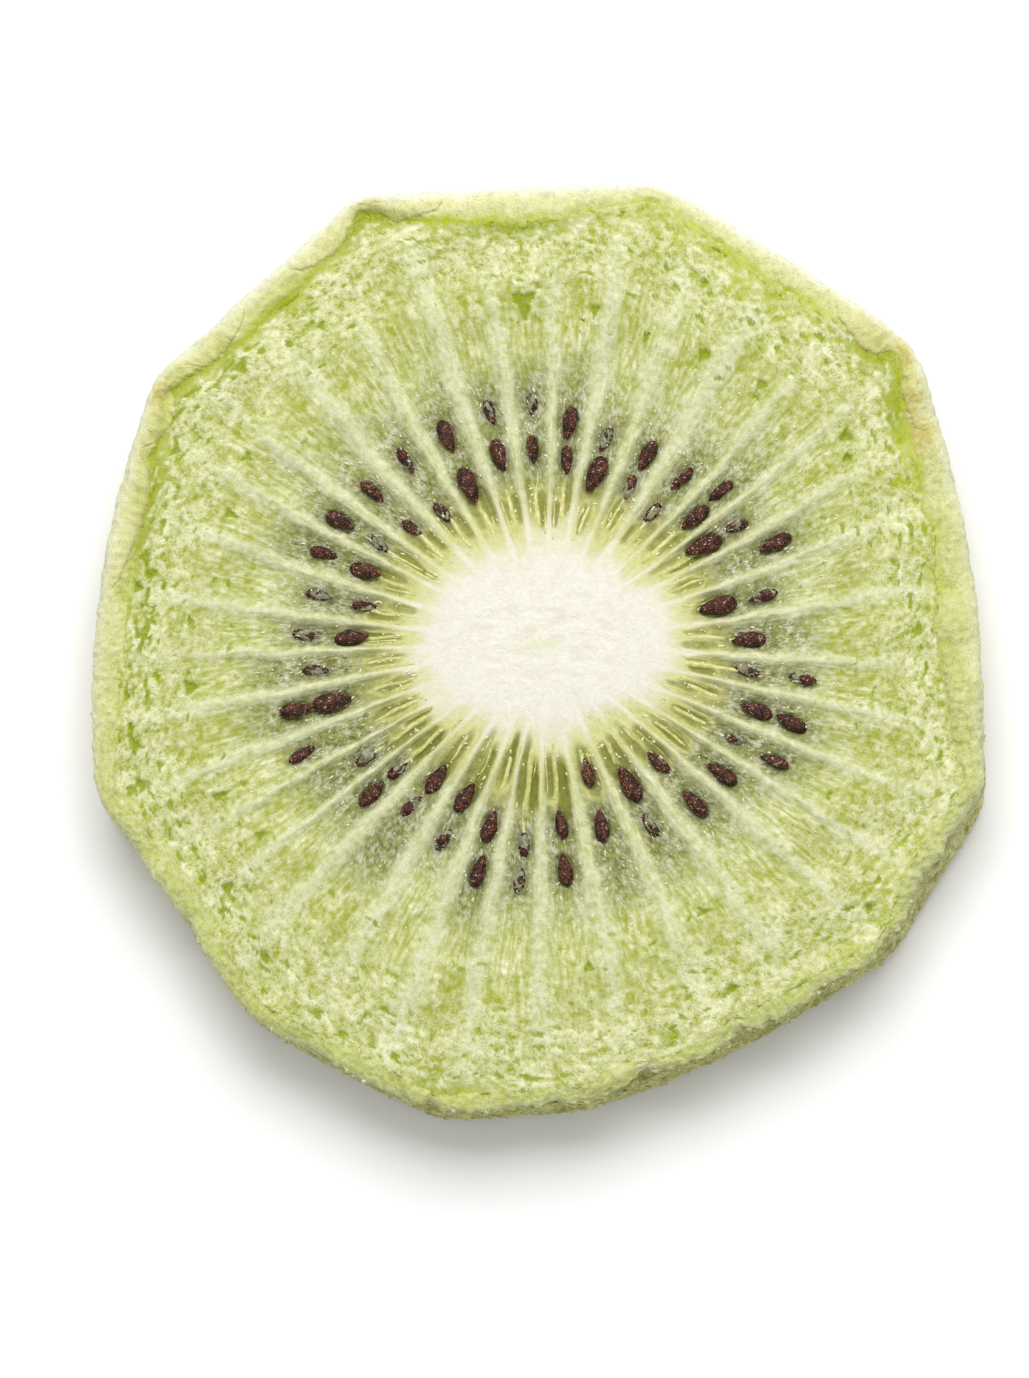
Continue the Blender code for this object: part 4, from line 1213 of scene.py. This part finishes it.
# --------------------------------------------------------------------------------------------- crystals
# Tiny crystals of sugar and flecks of dried juice, left where the juice dried last: round the core's edge,
# in the chambers and along the green streaks. They point outward, as the rays do, and catch the light.
# Each zone: how many, between which shares of the way out, and their size.
CRYSTAL_ZONES = ((260, -0.02, 0.14, 1.4), (460, 0.14, 0.46, 1.25), (440, 0.34, 0.68, 1.15))
crystal_random = np.random.default_rng(33)
GOLDEN = (1 + np.sqrt(5)) / 2
icosahedron = np.array([
    (-1, GOLDEN, 0), (1, GOLDEN, 0), (-1, -GOLDEN, 0), (1, -GOLDEN, 0), (0, -1, GOLDEN), (0, 1, GOLDEN),
    (0, -1, -GOLDEN), (0, 1, -GOLDEN), (GOLDEN, 0, -1), (GOLDEN, 0, 1), (-GOLDEN, 0, -1), (-GOLDEN, 0, 1)])
icosahedron /= np.linalg.norm(icosahedron, axis=1, keepdims=True)
ICOSAHEDRON_FACES = np.array([
    (0, 11, 5), (0, 5, 1), (0, 1, 7), (0, 7, 10), (0, 10, 11), (1, 5, 9), (5, 11, 4), (11, 10, 2), (10, 7, 6),
    (7, 1, 8), (3, 9, 4), (3, 4, 2), (3, 2, 6), (3, 6, 8), (3, 8, 9), (4, 9, 5), (2, 4, 11), (6, 2, 10),
    (8, 6, 7), (9, 8, 1)])


def crystal_material():
    """Cream-white sugar, a little yellow."""
    material, speckle, _ = new_material("sugar")
    fine = speckle(0.3)
    finish(material, blend(fine, (236, 234, 176), (252, 250, 222)), 0.35, fine, 0.01, 0.4)
    return material


def scattered(name, grains, material):
    """One piece from many grains. Each grain is the twelve corners of an icosahedron."""
    faces = (ICOSAHEDRON_FACES[None] + 12 * np.arange(len(grains))[:, None, None]).reshape(-1, 3)
    return piece(name, grains.reshape(-1, 3), faces.tolist(), material)


zone_rows = np.concatenate([[zone[1:]] * zone[0] for zone in CRYSTAL_ZONES])
lows, highs, sizes = zone_rows.T
count = len(zone_rows)
outs = lows + (highs - lows) * crystal_random.random(count)
phases = crystal_random.integers(0, CHAMBERS, count) + crystal_random.uniform(0.12, 0.88, count)
places, _ = cut_face(phases, outs)
turns = np.arctan2(places[:, 1], places[:, 0]) + crystal_random.normal(0, 0.5, count)
sizes = sizes[:, None] * np.stack([
    0.04 + 0.15 * crystal_random.random(count) ** 2.5,
    crystal_random.uniform(0.025, 0.055, count),
    crystal_random.uniform(0.03, 0.05, count),
], axis=-1)
x, y, z = np.moveaxis(icosahedron[None] * sizes[:, None], -1, 0)
rise = z + x * crystal_random.normal(0, 0.25, (count, 1))
crystals = np.stack([*swung(x, y, turns[:, None]), rise], axis=-1) + places[:, None]
scattered("crystals", crystals, crystal_material())

# ----------------------------------------------------------------------------------------------- crumbs
# Crumbs of flesh that came loose as the slice dried brittle, and cling to the wall and its upper edge.
CRUMB_COUNT = 900
CRUMB_BEARINGS = (278, 50)  # where they lie thickest, and over how many degrees
CRUMB_RINGS = (3.3, 7.2)  # which rings of the rim they lie between
CRUMB_LEAST = 0.02
crumb_random = np.random.default_rng(44)


def crumb_material():
    """Dry crumbs, from pale to green."""
    material, speckle, _ = new_material("crumb")
    fine, mid = speckle(0.15, 2), speckle(0.9)
    finish(material, blend(fine * 0.7 + mid * 0.9 - 0.3, (184, 190, 96), (236, 236, 196)), 0.8, fine, 0.04)
    return material


rows = crumb_random.integers(*np.searchsorted(along, CRUMB_RINGS), CRUMB_COUNT)
likely = bearing_bell(rim, *CRUMB_BEARINGS)
columns = crumb_random.choice(COLUMNS, CRUMB_COUNT, p=likely / likely.sum())
sizes = 0.05 + 0.11 * crumb_random.random((CRUMB_COUNT, 1, 1)) ** 2.5
crumbs = icosahedron[None] * sizes * crumb_random.uniform(0.6, 1.3, (CRUMB_COUNT, 12, 1))
crumbs = crumbs * crumb_random.uniform(0.6, 1.3, (CRUMB_COUNT, 1, 3)) + rim_points[rows + 1, columns][:, None]
crumbs[..., 2] = np.maximum(crumbs[..., 2], CRUMB_LEAST)
scattered("crumbs", crumbs, crumb_material())

# ------------------------------------------------------------------------------------- floor and light
# The slice lies on a plain white floor under one broad soft light, from beyond the top of the picture, with
# white all round to fill the shade.
FLOOR_WHITE, FLOOR_ROUGHNESS = (0.9, 0.9, 0.9, 1), 0.9
SURROUND_WHITE, SURROUND_STRENGTH = (1, 1, 1, 1), 0.60
LIGHT_DISTANCE, LIGHT_ELEVATION, LIGHT_ASIDE = 0.40, 57, 0.05  # metres, degrees, and a share of the way
LIGHT_SIZE, LIGHT_POWER = (0.33, 0.26), 1.52  # its width and height in metres, and its watts

floor_mesh = bpy.data.meshes.new("floor")
floor_mesh.from_pydata([(-1, -1, 0), (1, -1, 0), (1, 1, 0), (-1, 1, 0)], [], [(0, 1, 2, 3)])
floor = bpy.data.objects.new("floor", floor_mesh)
bpy.context.scene.collection.objects.link(floor)
floor_material = bpy.data.materials.new("white_floor")
floor_material.use_nodes = True
floor_sockets = floor_material.node_tree.nodes["Principled BSDF"].inputs
floor_sockets["Base Color"].default_value = FLOOR_WHITE
floor_sockets["Roughness"].default_value = FLOOR_ROUGHNESS
floor_mesh.materials.append(floor_material)

lamp = bpy.data.lights.new("softbox", "AREA")
lamp.shape, lamp.size, lamp.size_y, lamp.energy = "RECTANGLE", *LIGHT_SIZE, LIGHT_POWER
softbox = bpy.data.objects.new("softbox", lamp)
light_rise = np.radians(LIGHT_ELEVATION)
toward_light = Vector((LIGHT_ASIDE, np.cos(light_rise), np.sin(light_rise)))
softbox.location = toward_light * LIGHT_DISTANCE
softbox.rotation_mode = "QUATERNION"
softbox.rotation_quaternion = toward_light.to_track_quat("Z", "Y")
bpy.context.scene.collection.objects.link(softbox)

world = bpy.data.worlds.new("white_surround")
world.use_nodes = True
world_sockets = world.node_tree.nodes["Background"].inputs
world_sockets["Color"].default_value = SURROUND_WHITE
world_sockets["Strength"].default_value = SURROUND_STRENGTH
bpy.context.scene.world = world
bpy.context.scene.view_settings.view_transform = "Standard"
